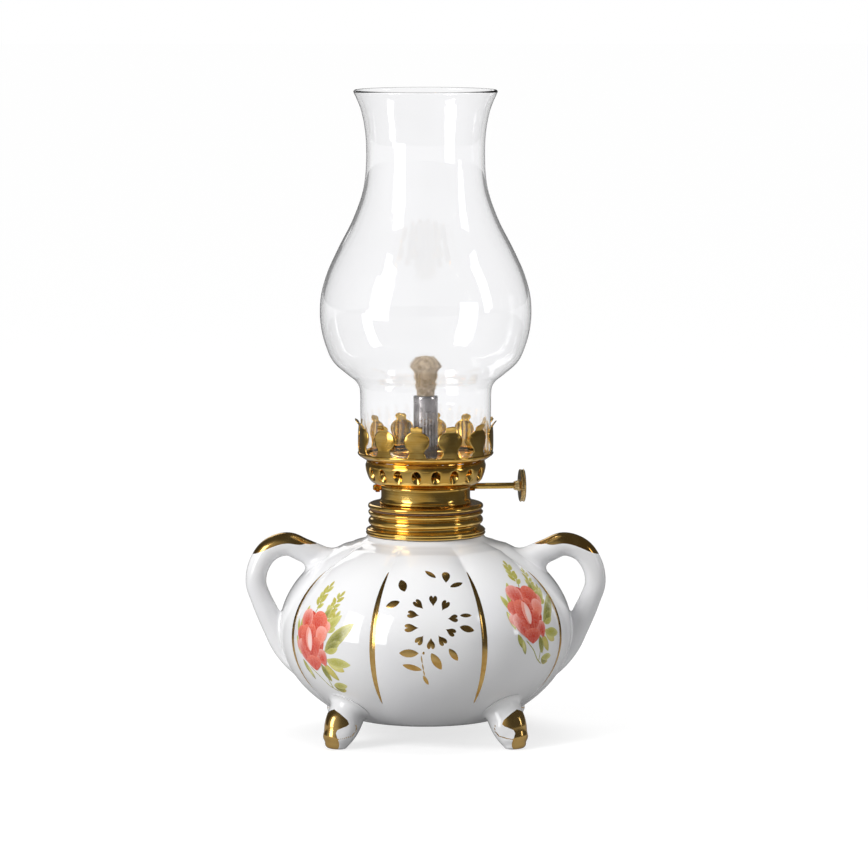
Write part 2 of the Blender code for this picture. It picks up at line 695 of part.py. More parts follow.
def main():
    """Builds the whole lamp."""
    for obj in list(bpy.data.objects):
        bpy.data.objects.remove(obj)
    lamp = collection("miniature_oil_lamp")
    cutters = collection("cutters")

    china = finish("porcelain", (0.88, 0.88, 0.87), 0.12)
    brass = finish("lacquered_brass", (0.78, 0.58, 0.28), 0.25, metallic=1.0)
    knob_brass = finish("knob_brass", (0.72, 0.52, 0.24), 0.3, metallic=1.0)
    steel = finish("bright_steel", (0.70, 0.70, 0.70), 0.25, metallic=1.0)
    cotton = finish("cotton", (0.78, 0.66, 0.50), 0.9)
    plaster = finish("plaster", (0.85, 0.83, 0.78), 0.9)
    fibre = finish("fibre", (0.20, 0.12, 0.08), 0.8)
    glass = finish("clear_glass", (1.0, 1.0, 1.0), 0.02, transmission=1.0)

    form = make_font_cutter(cutters)
    floor = block("floor", Vector((-0.06, -0.06, -0.02)), Vector((0.06, 0.06, 0.0)), cutters)
    make_font(lamp, china)
    make_handle("left_handle", -1, form, lamp, china)
    make_handle("right_handle", 1, form, lamp, china)
    for where, degrees in FOOT_ANGLES.items():
        make_foot(f"foot_{where}", math.radians(degrees), form, floor, lamp, china)
    make_collar(lamp, cutters, brass)
    make_collar_cement(lamp, plaster)
    make_seal_washer(lamp, fibre)
    make_wick(lamp, cotton)
    make_chimney(lamp, glass)

    burner = add_object("burner_axis", None, lamp)
    burner.rotation_euler = (0.0, 0.0, BURNER_TURN)
    pivot = add_object("shaft_axis", None, lamp)
    pivot.location = (0.0, SHAFT_BACK, SHAFT_Z)
    pivot.parent = burner

    middle = Vector((0.0, SHAFT_BACK, SHAFT_Z))
    reach = Vector((BORE_REACH, 0.0, 0.0))
    bore_radius = SHAFT_RADIUS + SHAFT_CLEARANCE
    bore = rod("shaft_bore", middle - reach, middle + reach, bore_radius, SHAFT_SIDES, cutters)
    bore.parent = burner
    for piece in (
        make_burner_base(lamp, cutters, brass),
        make_burner_neck(lamp, brass, bore),
        make_gallery_bowl(lamp, cutters, brass),
        make_chimney_crown(lamp, cutters, brass),
        make_deck_plate(lamp, brass),
        make_wick_tube(lamp, cutters, steel),
    ):
        piece.parent = burner
    for name in ("skirt_thread", "air_holes", "prongs"):
        bpy.data.objects[name].parent = burner

    wall_bottom = Vector((0.0, 0.0, FLANGE_BOTTOM_Z))
    wall_top = Vector((0.0, 0.0, CROWN_RING[0][1]))
    neck_wall = rod("neck_wall", wall_bottom, wall_top, BURNER_NECK_RADIUS + BUSH_SEAT_GAP, 72, cutters)
    neck_wall.parent = burner
    bush = along_shaft(place(make_sleeve("shaft_bush", *BUSH_X, lamp), brass), pivot)
    combine(bush, neck_wall, "DIFFERENCE")
    along_shaft(place(make_sleeve("shaft_clip", *CLIP_X, lamp), brass), pivot)
    make_wick_shaft(pivot, lamp, brass)
    make_knob(pivot, lamp, knob_brass)
    make_wheel("wick_wheel_left", -WHEEL_X, pivot, lamp, brass)
    make_wheel("wick_wheel_right", WHEEL_X, pivot, lamp, brass)


main()
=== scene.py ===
"""Finished look of the miniature porcelain oil lamp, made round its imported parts.

Metres, +Z up, front at -Y, thumb knob towards +X. Angles round the lamp start at the front and grow
towards +X. Outlines and sizes are written in millimetres and scaled by MM as they become a mesh.
"""
import math

import bmesh
import bpy
import numpy as np
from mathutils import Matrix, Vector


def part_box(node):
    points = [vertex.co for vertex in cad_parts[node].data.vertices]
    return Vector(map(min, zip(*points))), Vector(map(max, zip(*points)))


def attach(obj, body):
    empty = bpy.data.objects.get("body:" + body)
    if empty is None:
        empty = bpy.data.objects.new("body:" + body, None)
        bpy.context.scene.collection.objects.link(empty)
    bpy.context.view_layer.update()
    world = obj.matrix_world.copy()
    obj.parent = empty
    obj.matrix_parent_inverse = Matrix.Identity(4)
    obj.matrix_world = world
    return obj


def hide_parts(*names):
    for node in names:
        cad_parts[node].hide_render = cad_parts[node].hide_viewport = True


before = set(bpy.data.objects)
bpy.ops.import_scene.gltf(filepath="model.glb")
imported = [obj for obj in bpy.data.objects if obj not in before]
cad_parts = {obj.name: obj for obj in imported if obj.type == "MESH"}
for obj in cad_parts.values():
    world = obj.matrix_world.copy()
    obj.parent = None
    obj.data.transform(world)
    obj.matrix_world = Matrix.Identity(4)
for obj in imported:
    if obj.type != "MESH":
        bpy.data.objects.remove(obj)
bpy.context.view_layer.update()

MM = 0.001
SEED = 17

# Porcelain font: half axes of its spheroid, its middle height, and its eight lobes.
FONT_A = 38.6
FONT_B = 37.36
FONT_C = 27.0
FONT_MIDDLE = 28.0
SQUEEZE_FROM = 20.0
SQUEEZE_TO = 35.6
LOBES = 8
LOBE_TURN = math.radians(1.3)
CREASE_DEPTH = 0.9
CREASE_DEEPER_UP = 0.35
BASE_LINE = ((0.0, 5.7), (9.0, 5.65), (14.5, 5.45), (17.2, 5.05), (19.4, 5.05), (22.2, 5.91))
NECK_LINE = ((21.55, 50.4), (18.0, 51.4), (15.8, 52.3), (15.2, 53.1))
SPIGOT_LINE = ((14.0, 53.1), (14.0, 55.0), (11.4, 55.0), (11.4, 51.2))
FONT_WALL = 3.0
FONT_FLOOR = 8.5
# How far above the font's middle its hollow meets the neck.
HOLLOW_TOP = 22.0

# How far the edge of a handle's or a foot's root lies under the glaze, and its hidden end.
ROOT_SUNK = 0.03
ROOT_BURIED = 1.2
# Handle and foot centrelines, each point with its radius (x or r, z, radius).
HANDLE_LINE = (
    (32.2, 48.9, 3.1), (36.2, 50.5, 3.1), (41.0, 49.0, 3.0), (43.9, 45.0, 2.8),
    (44.7, 40.0, 2.7), (43.3, 35.8, 2.75), (41.9, 32.6, 2.95),
)
FOOT_LINE = (
    (29.3, 8.1, 4.75), (30.4, 6.2, 4.65), (31.5, 4.2, 4.25), (32.4, 2.4, 3.6), (32.9, 1.0, 2.9),
)
# Half width of the gold on a foot, in degrees round it, from its root to its toe.
FOOT_GILT = (-40, -20, 2, 30, 56, 66, 60, 48, 36, 34, 44, 56, 64, 66)
# How far the toe runs on past the leg, and how softly it flattens on the floor.
TOE_LENGTH = 1.6
TOE_FLATTEN = 0.25
FOOT_ANGLES = {"front_right": 45, "back_right": 135, "back_left": 225, "front_left": 315}

# Brass burner. It is screwed home a little past square with the font.
BURNER_TURN = math.radians(6.6)
COLLAR_LINE = (
    (14.75, 59.65), (15.1, 59.3), (14.95, 58.8), (14.4, 58.2), (14.9, 57.6), (15.1, 57.0),
    (14.9, 56.4), (14.35, 55.75), (14.6, 55.3), (15.4, 54.85), (15.7, 54.5), (15.55, 54.1), (15.75, 53.8),
    (15.6, 53.45),
)
BOWL_LINE = (
    (9.0, 66.5), (12.2, 66.55), (13.8, 66.95), (14.8, 67.9), (15.4, 69.2), (15.75, 70.6), (15.75, 71.9),
    (15.45, 72.45),
)
AIR_HOLES = 19
AIR_HOLE_FIRST = math.radians(-8.9)
AIR_HOLE = (1.25, 1.85)
AIR_HOLE_Z = 69.7
PRONGS = 12
PRONG_FIRST = math.radians(-8.0)
# Height, radius from the axis and half width of one prong.
PRONG_LINE = (
    (74.8, 17.4, 2.9), (75.7, 17.5, 2.3), (76.5, 17.58, 1.95), (77.2, 17.62, 2.15), (78.0, 17.65, 2.85),
    (78.9, 17.66, 3.3), (79.8, 17.66, 3.4), (80.7, 17.64, 3.1), (81.4, 17.6, 2.35), (81.8, 17.6, 1.6),
    (82.1, 17.7, 1.35), (82.6, 18.0, 1.6), (83.1, 18.4, 1.45), (83.35, 18.6, 0.95), (83.45, 18.66, 0.05),
)
GLASS_LINE = (
    (17.0, 75.3), (17.1, 79.0), (17.1, 83.0), (17.15, 87.0), (17.2, 90.5), (17.4, 92.2), (18.2, 93.6),
    (20.6, 95.6), (24.3, 99.0), (26.3, 103.4), (27.6, 109.5), (27.5, 115.5), (26.0, 121.5), (23.0, 128.3),
    (19.0, 136.2), (16.3, 144.0), (15.5, 153.0), (15.9, 160.0), (17.2, 165.7), (18.75, 169.25),
)
GLASS_WALL = 0.85
TUBE_RADIUS = 3.2
TUBE_WALL = 0.6
# The slot in the tube's back: half its width, its lower and its upper end.
SLOT_HALF, SLOT_LOW, SLOT_HIGH = 1.75, 62.2, 68.0
# A point on the spindle's axis, with the burner square to the font.
SHAFT_MIDDLE = (0.0, 4.85, 65.1)
WICK_RADIUS = 2.3
WICK_LINE = (
    (2.3, 84.0), (2.3, 86.0), (2.3, 88.0), (2.3, 90.0), (2.33, 91.5), (2.42, 92.8), (2.65, 94.0),
    (3.1, 95.2), (3.75, 96.3), (4.1, 97.0), (3.75, 97.8), (3.25, 98.6), (2.6, 99.3), (1.6, 99.9),
    (0.0, 100.2),
)
FIBRES = 3200
SHEET_BOWL = 0.3
SHEET_PRONG = 0.22

# How many steps a font, a ring and a rod have round them, and how close two points are one (metres).
FONT_SIDES = 288
RING_SIDES = 144
ROD_SIDES = 40
MERGE_DISTANCE = 0.0000002

# Camera, in metres and degrees: where it stands, how far it looks down, its lens and sensor in mm.
CAMERA_PLACE = (0.0022, -1.255, 0.220)
CAMERA_DOWN = 6.381
CAMERA_LENS = 199.3
CAMERA_SENSOR = 36.0
# How bright the surroundings are for reflections and soft light, and towards the window's side.
SURROUNDINGS = 0.07
WINDOW_GLOW = 0.38
LIGHT_AIM = 0.08
# Soft lights: name, place, size and power, and the rays that don't see them.
LIGHTS = (
    ("left_softbox", (-0.75, -0.60, 0.62), (0.30, 0.55), 6.2, ("glossy",)),
    ("right_softbox", (0.85, -0.25, 0.45), (0.20, 0.60), 2.8, ("glossy",)),
    ("top_softbox", (0.0, 0.05, 1.0), (0.7, 0.7), 7.0, ("glossy", "transmission")),
    ("left_window", (-0.78, -0.62, 0.32), (0.42, 0.80), 4.4, ()),
    ("right_window", (0.85, -0.30, 0.34), (0.10, 0.46), 0.50, ()),
    ("back_window", (-0.30, 0.95, 0.50), (0.30, 0.50), 0.60, ()),
)


# ---------------------------------------------------------------- shader expressions

class Value:
    """A node's output. Arithmetic on it adds Math nodes to the same tree."""

    def __init__(self, nodes, socket):
        self.nodes = nodes
        self.socket = socket

    def math(self, operation, *others, swap=False):
        """A Math node on this value and the others; swap puts this value second."""
        values = [self, *others]
        if swap:
            values.reverse()
        return self.nodes.node("ShaderNodeMath", {"operation": operation}, dict(enumerate(values)))

    def __add__(self, other):
        return self.math("ADD", other)

    def __rsub__(self, other):
        return self.math("SUBTRACT", other, swap=True)

    def __mul__(self, other):
        return self.math("MULTIPLY", other)

    __radd__ = __add__
    __rmul__ = __mul__

    def step(self, low, high):
        """0 below low, 1 above high, eased between."""
        return self.nodes.node(
            "ShaderNodeMapRange",
            {"interpolation_type": "SMOOTHSTEP"},
            {"Value": self, "From Min": low, "From Max": high},
        )


class Nodes:
    """The node tree of a material or a world, whose nodes all come from node()."""

    def __init__(self, owner):
        owner.use_nodes = True
        self.tree = owner.node_tree

    def feed(self, socket, value):
        """Links a Value to a socket, or sets the socket's own number or colour."""
        if isinstance(value, Value):
            self.tree.links.new(value.socket, socket)
        else:
            socket.default_value = value

    def node(self, kind, settings=None, inputs=None, output=0):
        """Adds a node: its settings first, then its sockets."""
        node = self.tree.nodes.new(kind)
        for key, value in (settings or {}).items():
            setattr(node, key, value)
        for key, value in (inputs or {}).items():
            self.feed(node.inputs[key], value)
        return Value(self, node.outputs[output])

    def ray(self, output):
        """What the Light Path node says of the ray."""
        return self.node("ShaderNodeLightPath", output=output)


class Finish(Nodes):
    """One material with a Principled shader."""

    def __init__(self, name, **constants):
        self.material = bpy.data.materials.new(name)
        super().__init__(self.material)
        self.shader = self.tree.nodes["Principled BSDF"]
        self.set(**constants)

    def set(self, **values):
        """Feeds the shader's own sockets."""
        for key, value in values.items():
            self.feed(self.shader.inputs[key.replace("_", " ")], value)
        return self

    def place(self, scale=(1.0, 1.0, 1.0)):
        """Object coordinates, stretched."""
        at = self.node("ShaderNodeTexCoord", output=3)
        return self.node("ShaderNodeMapping", {}, {"Vector": at, "Scale": scale})

    def noise(self, scale, detail=3.0, rough=0.5, stretch=(1.0, 1.0, 1.0)):
        """Noise on Object coordinates, 0 to 1."""
        return self.node(
            "ShaderNodeTexNoise",
            {"noise_dimensions": "3D"},
            {"Vector": self.place(stretch), "Scale": scale, "Detail": detail, "Roughness": rough},
        )

    def blend(self, share, first, second):
        """A colour between two colours."""
        colours = [c if isinstance(c, Value) else (*c, 1.0) for c in (first, second)]
        return self.node(
            "ShaderNodeMix",
            {"data_type": "RGBA"},
            {0: share, 6: colours[0], 7: colours[1]},
            output=2,
        )

    def number(self, name):
        """A number that the mesh carries at each point."""
        return self.node("ShaderNodeAttribute", {"attribute_name": name}, output=2)

    def colour(self, name):
        """A colour that the mesh carries at each point."""
        return self.node("ShaderNodeAttribute", {"attribute_name": name})

    def bump(self, height, distance, strength=1.0):
        """Fine relief under the shader's normal."""
        normal = self.node(
            "ShaderNodeBump", {}, {"Height": height, "Distance": distance, "Strength": strength}
        )
        return self.set(Normal=normal)


# ---------------------------------------------------------------- finishes

GOLD = (0.84, 0.56, 0.20)
GOLD_DEEP = (0.66, 0.38, 0.10)


def china_finish():
    """Cool white glaze; where the mesh's gilt number is above 0 it turns to burnished gold."""
    china = Finish("glazed_china", IOR=1.52, Coat_Roughness=0.03, Coat_IOR=1.5)
    gilt = china.number("gilt").step(0.0, 0.06)
    cloud = china.noise(45.0, 2.0)
    speck = china.noise(900.0, 2.0)
    glaze = china.blend(cloud.step(0.35, 0.7), (0.80, 0.80, 0.815), (0.835, 0.835, 0.84))
    stroke = china.noise(260.0, 3.0, stretch=(1.0, 1.0, 0.35))
    gold = china.blend(stroke.step(0.3, 0.7), GOLD_DEEP, GOLD)
    china.set(
        Base_Color=china.blend(gilt, glaze, gold),
        Metallic=gilt,
        Roughness=(0.05 + 0.03 * speck) * (1 - gilt) + (0.10 + 0.14 * stroke) * gilt,
        Coat_Weight=0.5 * (1 - gilt),
    )
    return china.bump(cloud * 0.6 + stroke * gilt * 0.5, 0.00008, 0.35).material


def gilding_finish():
    """Brushed-on bright gold: uneven strokes, a little thin in places."""
    gilding = Finish("burnished_gilding", Metallic=1.0)
    stroke = gilding.noise(420.0, 3.0)
    thin = gilding.noise(1400.0, 2.0)
    gilding.set(
        Base_Color=gilding.blend(stroke.step(0.32, 0.68), GOLD_DEEP, GOLD),
        Roughness=0.12 + 0.16 * thin,
    )
    return gilding.bump(stroke, 0.00005, 0.5).material


def rose_finish():
    """Transfer print under the glaze: the mesh's paint colour with fine mottling."""
    rose = Finish("rose_print", Coat_Weight=0.5, Coat_Roughness=0.04, IOR=1.5)
    mottle = rose.noise(2300.0, 3.0)
    paint = rose.colour("paint")
    paler = rose.blend(0.12, paint, (0.93, 0.90, 0.84))
    rose.set(
        Base_Color=rose.blend(mottle.step(0.35, 0.75), paint, paler),
        Roughness=0.16 + 0.1 * mottle,
    )
    return rose.bump(mottle, 0.00001, 0.3).material


def brass_finish(name, light, deep, rough, lines):
    """Lacquered brass turned on a lathe: fine rings, faint clouding and a few small marks."""
    brass = Finish(name, Metallic=1.0, Coat_Roughness=0.08)
    rings = brass.noise(1.0, 3.0, stretch=lines)
    cloud = brass.noise(210.0, 3.0)
    marks = brass.noise(1500.0, 4.0, 0.7)
    tone = (rings * 0.35 + cloud * 0.65).step(0.3, 0.7)
    brass.set(
        Base_Color=brass.blend(tone, deep, light),
        Roughness=rough + 0.07 * cloud + 0.08 * marks.step(0.62, 0.8),
        Coat_Weight=0.25 * cloud,
    )
    return brass.bump(rings * 0.7 + marks * 0.3, 0.00003, 0.35).material


def steel_finish():
    """Seamed steel tube: drawn lengthwise, with rubbed streaks and scratches."""
    steel = Finish("drawn_steel", Metallic=1.0)
    drawn = steel.noise(1.0, 4.0, 0.6, stretch=(2600.0, 2600.0, 45.0))
    rubbed = steel.noise(260.0, 4.0, 0.65, stretch=(1.0, 1.0, 0.5))
    scratch = steel.noise(1.0, 2.0, stretch=(500.0, 500.0, 1500.0))
    steel.set(
        Base_Color=steel.blend(rubbed.step(0.35, 0.7), (0.20, 0.185, 0.185), (0.52, 0.50, 0.50)),
        Roughness=0.14 + 0.14 * drawn + 0.16 * scratch.step(0.6, 0.75),
    )
    return steel.bump(drawn * 0.7 + scratch * 0.3, 0.00003, 0.4).material


def cotton_finish():
    """Unbleached cotton: tan, browner where the mesh's number is low; it holds painted shade and fibre
    tone.
    """
    cotton = Finish("unbleached_cotton", Sheen_Weight=0.35, Sheen_Roughness=0.5, Specular_IOR_Level=0.2)
    fibre = cotton.noise(1900.0, 4.0, 0.65, stretch=(1.0, 1.0, 0.4))
    painted_shade_and_tone = cotton.number("painted_shade_and_tone")
    # The tone mixes the fibre noise with the painted shade that the mesh carries.
    tone = (fibre * 0.6 + painted_shade_and_tone * 0.5).step(0.25, 0.8)
    cotton.set(
        Base_Color=cotton.blend(tone, (0.42, 0.30, 0.18), (0.84, 0.70, 0.52)),
        Roughness=0.85 + 0.1 * fibre,
    )
    return cotton.bump(fibre, 0.0003, 0.8).material


def glass_finish():
    """Clear blown glass with the faintest waviness."""
    glass = Finish("blown_glass", Transmission_Weight=1.0, IOR=1.45, Base_Color=(0.982, 0.982, 0.988, 1.0))
    wave = glass.noise(60.0, 1.0)
    glass.set(Roughness=0.002 * wave)
    return glass.bump(wave, 0.00002, 0.15).material


def plain_finish(name, dark, light, rough, scale):
    """A matt, grainy finish for the pieces hidden inside."""
    matt = Finish(name)
    grain = matt.noise(scale, 4.0, 0.6)
    matt.set(Base_Color=matt.blend(grain.step(0.3, 0.7), dark, light), Roughness=rough + 0.1 * grain)
    return matt.bump(grain, 0.0001, 0.5).material


# ---------------------------------------------------------------- shape tools

def ease(value, low, high):
    """0 below low, 1 above high, eased between (3t^2 - 2t^3)."""
    share = np.clip((value - low) / (high - low), 0.0, 1.0)
    return share * share * (3 - 2 * share)


def unit(vectors):
    """Vectors scaled to length 1."""
    return vectors / np.maximum(np.linalg.norm(vectors, axis=-1, keepdims=True), 1e-12)


def curve_through(points, count):
    """Evenly spaced points on a smooth curve through the given ones, of cubic Hermite arcs."""
    knots = np.asarray(points, dtype=float)
    gaps = np.linalg.norm(np.diff(knots[:, :2], axis=0), axis=1)
    at = np.concatenate(([0.0], np.cumsum(gaps)))
    slope = np.gradient(knots, at, axis=0)
    fine = np.linspace(0.0, at[-1], 40 * len(knots))
    span = np.clip(np.searchsorted(at, fine, side="right") - 1, 0, len(gaps) - 1)
    width = gaps[span][:, None]
    t = (fine[:, None] - at[span][:, None]) / width
    start = knots[span] * (2 * t**3 - 3 * t**2 + 1) + slope[span] * width * (t**3 - 2 * t**2 + t)
    end = knots[span + 1] * (3 * t**2 - 2 * t**3) + slope[span + 1] * width * (t**3 - t**2)
    dense = start + end
    length = np.concatenate(([0.0], np.cumsum(np.linalg.norm(np.diff(dense[:, :2], axis=0), axis=1))))
    even = np.linspace(0.0, length[-1], count)
    return np.stack([np.interp(even, length, column) for column in dense.T], axis=1)


def rounded(points, radius, steps=4):
    """A closed outline whose corners are small parabolas touching both sides.

    Its first point comes again at the end."""
    corner = np.asarray(points, dtype=float)
    sides = [np.roll(corner, shift, axis=0) - corner for shift in (1, -1)]
    lengths = [np.linalg.norm(side, axis=1, keepdims=True) for side in sides]
    start, end = (corner + s / n * np.minimum(radius, 0.45 * n) for s, n in zip(sides, lengths))
    t = np.linspace(0.0, 1.0, steps)[None, :, None]
    arcs = (1 - t) ** 2 * start[:, None] + 2 * t * (1 - t) * corner[:, None] + t * t * end[:, None]
    outline = arcs.reshape(-1, 2)
    return np.vstack([outline, outline[:1]])


def around(radius, angle, height):
    """Points by radius, angle round Z and height: (r sin a, -r cos a, z)."""
    parts = (radius * np.sin(angle), -radius * np.cos(angle), height)
    return np.stack(np.broadcast_arrays(*parts), axis=-1)


def from_axis(points):
    """How far points are from the Z axis."""
    return np.hypot(points[..., 0], points[..., 1])


def outward(outline):
    """The unit normals of an outline (radius, height), on the right of its way."""
    return unit(np.gradient(outline, axis=0)[:, ::-1] * np.array([1.0, -1.0]))


def lathe(outline, sides=RING_SIDES):
    """An outline (radius, height) turned round Z."""
    return around(outline[:, 0:1], np.linspace(0.0, 2 * np.pi, sides + 1), outline[:, 1:2])


def turned(points, angle):
    """Points turned round Z."""
    c, s = math.cos(angle), math.sin(angle)
    return points @ np.array([[c, s, 0.0], [-s, c, 0.0], [0.0, 0.0, 1.0]])


def along_shaft(points):
    """Points modelled round Z, laid along the shaft's axis with +Z towards the knob."""
    laid = points[..., [2, 1, 0]] * np.array([1.0, 1.0, -1.0])
    return turned(laid + np.array(SHAFT_MIDDLE), BURNER_TURN)


def waves(points, scale, seed):
    """Smooth unevenness of about -1 to 1: the mean of twelve plane waves in random directions."""
    rng = np.random.default_rng(seed)
    ways = unit(rng.normal(size=(12, 3))) * rng.uniform(0.6, 1.6, (12, 1)) / scale
    phase = rng.uniform(0, 2 * np.pi, 12)
    return np.sin(points @ ways.T + phase).mean(axis=-1) * 2.0


def grid_faces(rows, columns):
    """Quads between neighbouring rows and columns of a grid."""
    index = np.arange(rows * columns).reshape(rows, columns)
    corners = [index[:-1, :-1], index[:-1, 1:], index[1:, 1:], index[1:, :-1]]
    return np.stack(corners, axis=2).reshape(-1, 4)


def piece(name, grids, finish, body, replaces=(), values=None, closed=True, sharp=40.0):
    """One object from grids of points in millimetres.

    Seams and poles are merged, and closed forms face outwards. values gives each point a number or a
    colour by name, in the order of the grids' points."""
    points = np.concatenate([grid.reshape(-1, 3) for grid in grids]) * MM
    starts = np.cumsum([0] + [grid[..., 0].size for grid in grids[:-1]])
    faces = np.concatenate([grid_faces(*g.shape[:2]) + start for g, start in zip(grids, starts)])
    mesh = bpy.data.meshes.new(name)
    mesh.from_pydata(points.tolist(), [], faces.tolist())
    for key, numbers in (values or {}).items():
        numbers = np.asarray(numbers, dtype=np.float32)
        if numbers.ndim == 2:
            layer = mesh.attributes.new(key, "FLOAT_COLOR", "POINT")
            layer.data.foreach_set("color", np.hstack([numbers, np.ones((len(numbers), 1))]).ravel())
        else:
            mesh.attributes.new(key, "FLOAT", "POINT").data.foreach_set("value", numbers)
    work = bmesh.new()
    work.from_mesh(mesh)
    bmesh.ops.remove_doubles(work, verts=work.verts, dist=MERGE_DISTANCE)
    if closed:
        bmesh.ops.recalc_face_normals(work, faces=work.faces)
    work.to_mesh(mesh)
    work.free()
    mesh.shade_smooth()
    mesh.set_sharp_from_angle(angle=math.radians(sharp))
    obj = placed(name, mesh)
    mesh.materials.append(finish)
    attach(obj, body)
    if replaces:
        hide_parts(*replaces)
    return obj


def placed(name, data):
    """A new object in the scene."""
    obj = bpy.data.objects.new(name, data)
    bpy.context.scene.collection.objects.link(obj)
    return obj


def sheet_wall(obj, thickness):
    """Gives an open surface its sheet thickness, on its inner side."""
    wall = obj.modifiers.new("Sheet", "SOLIDIFY")
    wall.thickness = thickness * MM
    wall.offset = -1.0
    return obj


# ---------------------------------------------------------------- font surface

def squeezed(points):
    """Narrows the round form front to back, fully at its widest and not at all near the axis."""
    radius = np.linalg.norm(points[..., :2], axis=-1)
    share = 1 - (1 - FONT_B / FONT_A) * ease(radius, SQUEEZE_FROM, SQUEEZE_TO)
    return points * np.stack([np.ones_like(share), share, np.ones_like(share)], axis=-1)


def crease(angle, height):
    """How far the china is pressed in at an angle and a height.

    It is the cube of the distance from the lobe's middle, faded at both ends."""
    lobe = (angle - LOBE_TURN) * LOBES / (2 * np.pi)
    across = np.abs(2 * (lobe - np.round(lobe)))
    rise = (height - FONT_MIDDLE) / FONT_C
    level = ease(height, 6.0, 14.0) * (1 - ease(height, 49.0, 52.5))
    return across**3 * level * (CREASE_DEPTH + CREASE_DEEPER_UP * rise)


def on_font(angle, lift, proud=0.0):
    """A point of the lobed china at an angle round the lamp and a lift (both radians), raised by proud."""
    radius, height = FONT_A * np.cos(lift), FONT_MIDDLE + FONT_C * np.sin(lift)
    slope = unit(np.stack([np.cos(lift) / FONT_A, np.sin(lift) / FONT_C], axis=-1))
    push = proud - crease(angle, height)
    return squeezed(around(radius + push * slope[..., 0], angle, height + push * slope[..., 1]))


def nearest_on_font(points, proud=0.0):
    """The china's point in the same direction from its middle."""
    radius = np.linalg.norm(points[..., :2], axis=-1)
    angle = np.arctan2(points[..., 0], -points[..., 1])
    lift = np.arctan2((points[..., 2] - FONT_MIDDLE) / FONT_C, radius / FONT_A)
    return on_font(angle, lift, proud)


def drawn_on_font(angle, lift, x, y, proud):
    """Points x to the right and y up the china from a place given by its angle and lift in degrees."""
    lift0 = math.radians(lift)
    up = lift0 + y / math.hypot(FONT_A * math.sin(lift0), FONT_C * math.cos(lift0))
    return on_font(math.radians(angle) + x / (FONT_A * np.cos(up)), up, proud)


def root(ring, way, spread, steps=10):
    """Rows that carry a ring of points on to the china.

    Each point runs straight along way to where it meets the spheroid, and a parabola with that meeting
    point as its corner turns it outwards over the china by spread."""
    axes = np.array([FONT_A, FONT_B, FONT_C])
    centre = np.array([0.0, 0.0, FONT_MIDDLE])
    start = (ring - centre) / axes
    run = way / axes
    a, b, c = (run * run).sum(-1), (start * run).sum(-1), (start * start).sum(-1) - 1
    reach = (-b - np.sqrt(np.maximum(b * b - a * c, 0.0))) / a
    meet = ring + reach[:, None] * way
    middle = meet.mean(axis=0)
    normal = unit((meet - centre) / axes**2)
    out = meet - middle
    out = unit(out - (out * normal).sum(-1, keepdims=True) * normal)
    land = nearest_on_font(meet + out * spread[:, None], -ROOT_SUNK)
    bend = meet - way * np.minimum(spread, np.maximum(reach, 0.0))[:, None]
    t = np.linspace(0.0, 1.0, steps)[:, None, None]
    run_in = ring + (bend - ring) * np.array([0.25, 0.5, 0.75])[:, None, None]
    curve = (1 - t) ** 2 * bend + 2 * t * (1 - t) * meet + t * t * land
    under = nearest_on_font(middle + 0.85 * (land - middle), -ROOT_BURIED)
    pole = np.broadcast_to(nearest_on_font(middle, -ROOT_BURIED), under.shape)
    return np.concatenate([run_in, curve, under[None], pole[None]])


def tube(line, count, sides):
    """Rings round a centreline (x, z, radius) in the X-Z plane, and the unit way along it.

    A ring's angle is 0 on the outer side of the bend and grows towards +Y."""
    path = curve_through(line, count)
    middle = np.stack([path[:, 0], 0 * path[:, 0], path[:, 1]], axis=1)
    way = unit(np.gradient(middle, axis=0))
    side = np.array([0.0, 1.0, 0.0])
    outer = np.cross(way, side)
    angle = np.linspace(-np.pi, np.pi, sides + 1)
    around = outer[:, None] * np.cos(angle)[:, None] + side * np.sin(angle)[:, None]
    return middle[:, None] + path[:, 2, None, None] * around, way, angle


# ---------------------------------------------------------------- porcelain pieces

def make_font(china):
    """The lobed shell: base, spheroid, neck fillet and spigot outside, plain spheroid inside."""
    low = math.asin((BASE_LINE[-1][1] - FONT_MIDDLE) / FONT_C)
    high = math.asin((NECK_LINE[0][1] - FONT_MIDDLE) / FONT_C)
    rise = np.linspace(low, high, 104)
    belly = np.stack([FONT_A * np.cos(rise), FONT_MIDDLE + FONT_C * np.sin(rise)], axis=1)
    outer = np.vstack([curve_through(BASE_LINE, 22)[:-1], belly, curve_through(NECK_LINE, 14)[1:]])
    slope = outward(outer)
    angle = np.linspace(0.0, 2 * np.pi, FONT_SIDES + 1)
    press = crease(angle[None], outer[:, 1:2])
    grid = around(outer[:, 0:1] - press * slope[:, 0:1], angle, outer[:, 1:2] - press * slope[:, 1:2])
    wide, tall = FONT_A - FONT_WALL, FONT_C - FONT_WALL
    inside = np.linspace(math.asin(HOLLOW_TOP / tall), math.asin((FONT_FLOOR - FONT_MIDDLE) / tall), 30)
    hollow = np.stack([wide * np.cos(inside), FONT_MIDDLE + tall * np.sin(inside)], axis=1)
    rest = np.vstack([outer[-1:], SPIGOT_LINE, hollow, [(0.0, FONT_FLOOR)]])
    shell = np.concatenate([squeezed(grid), squeezed(lathe(rest, FONT_SIDES))[1:]])
    return piece("china_font", [shell], china, "font", ["font_shell"])


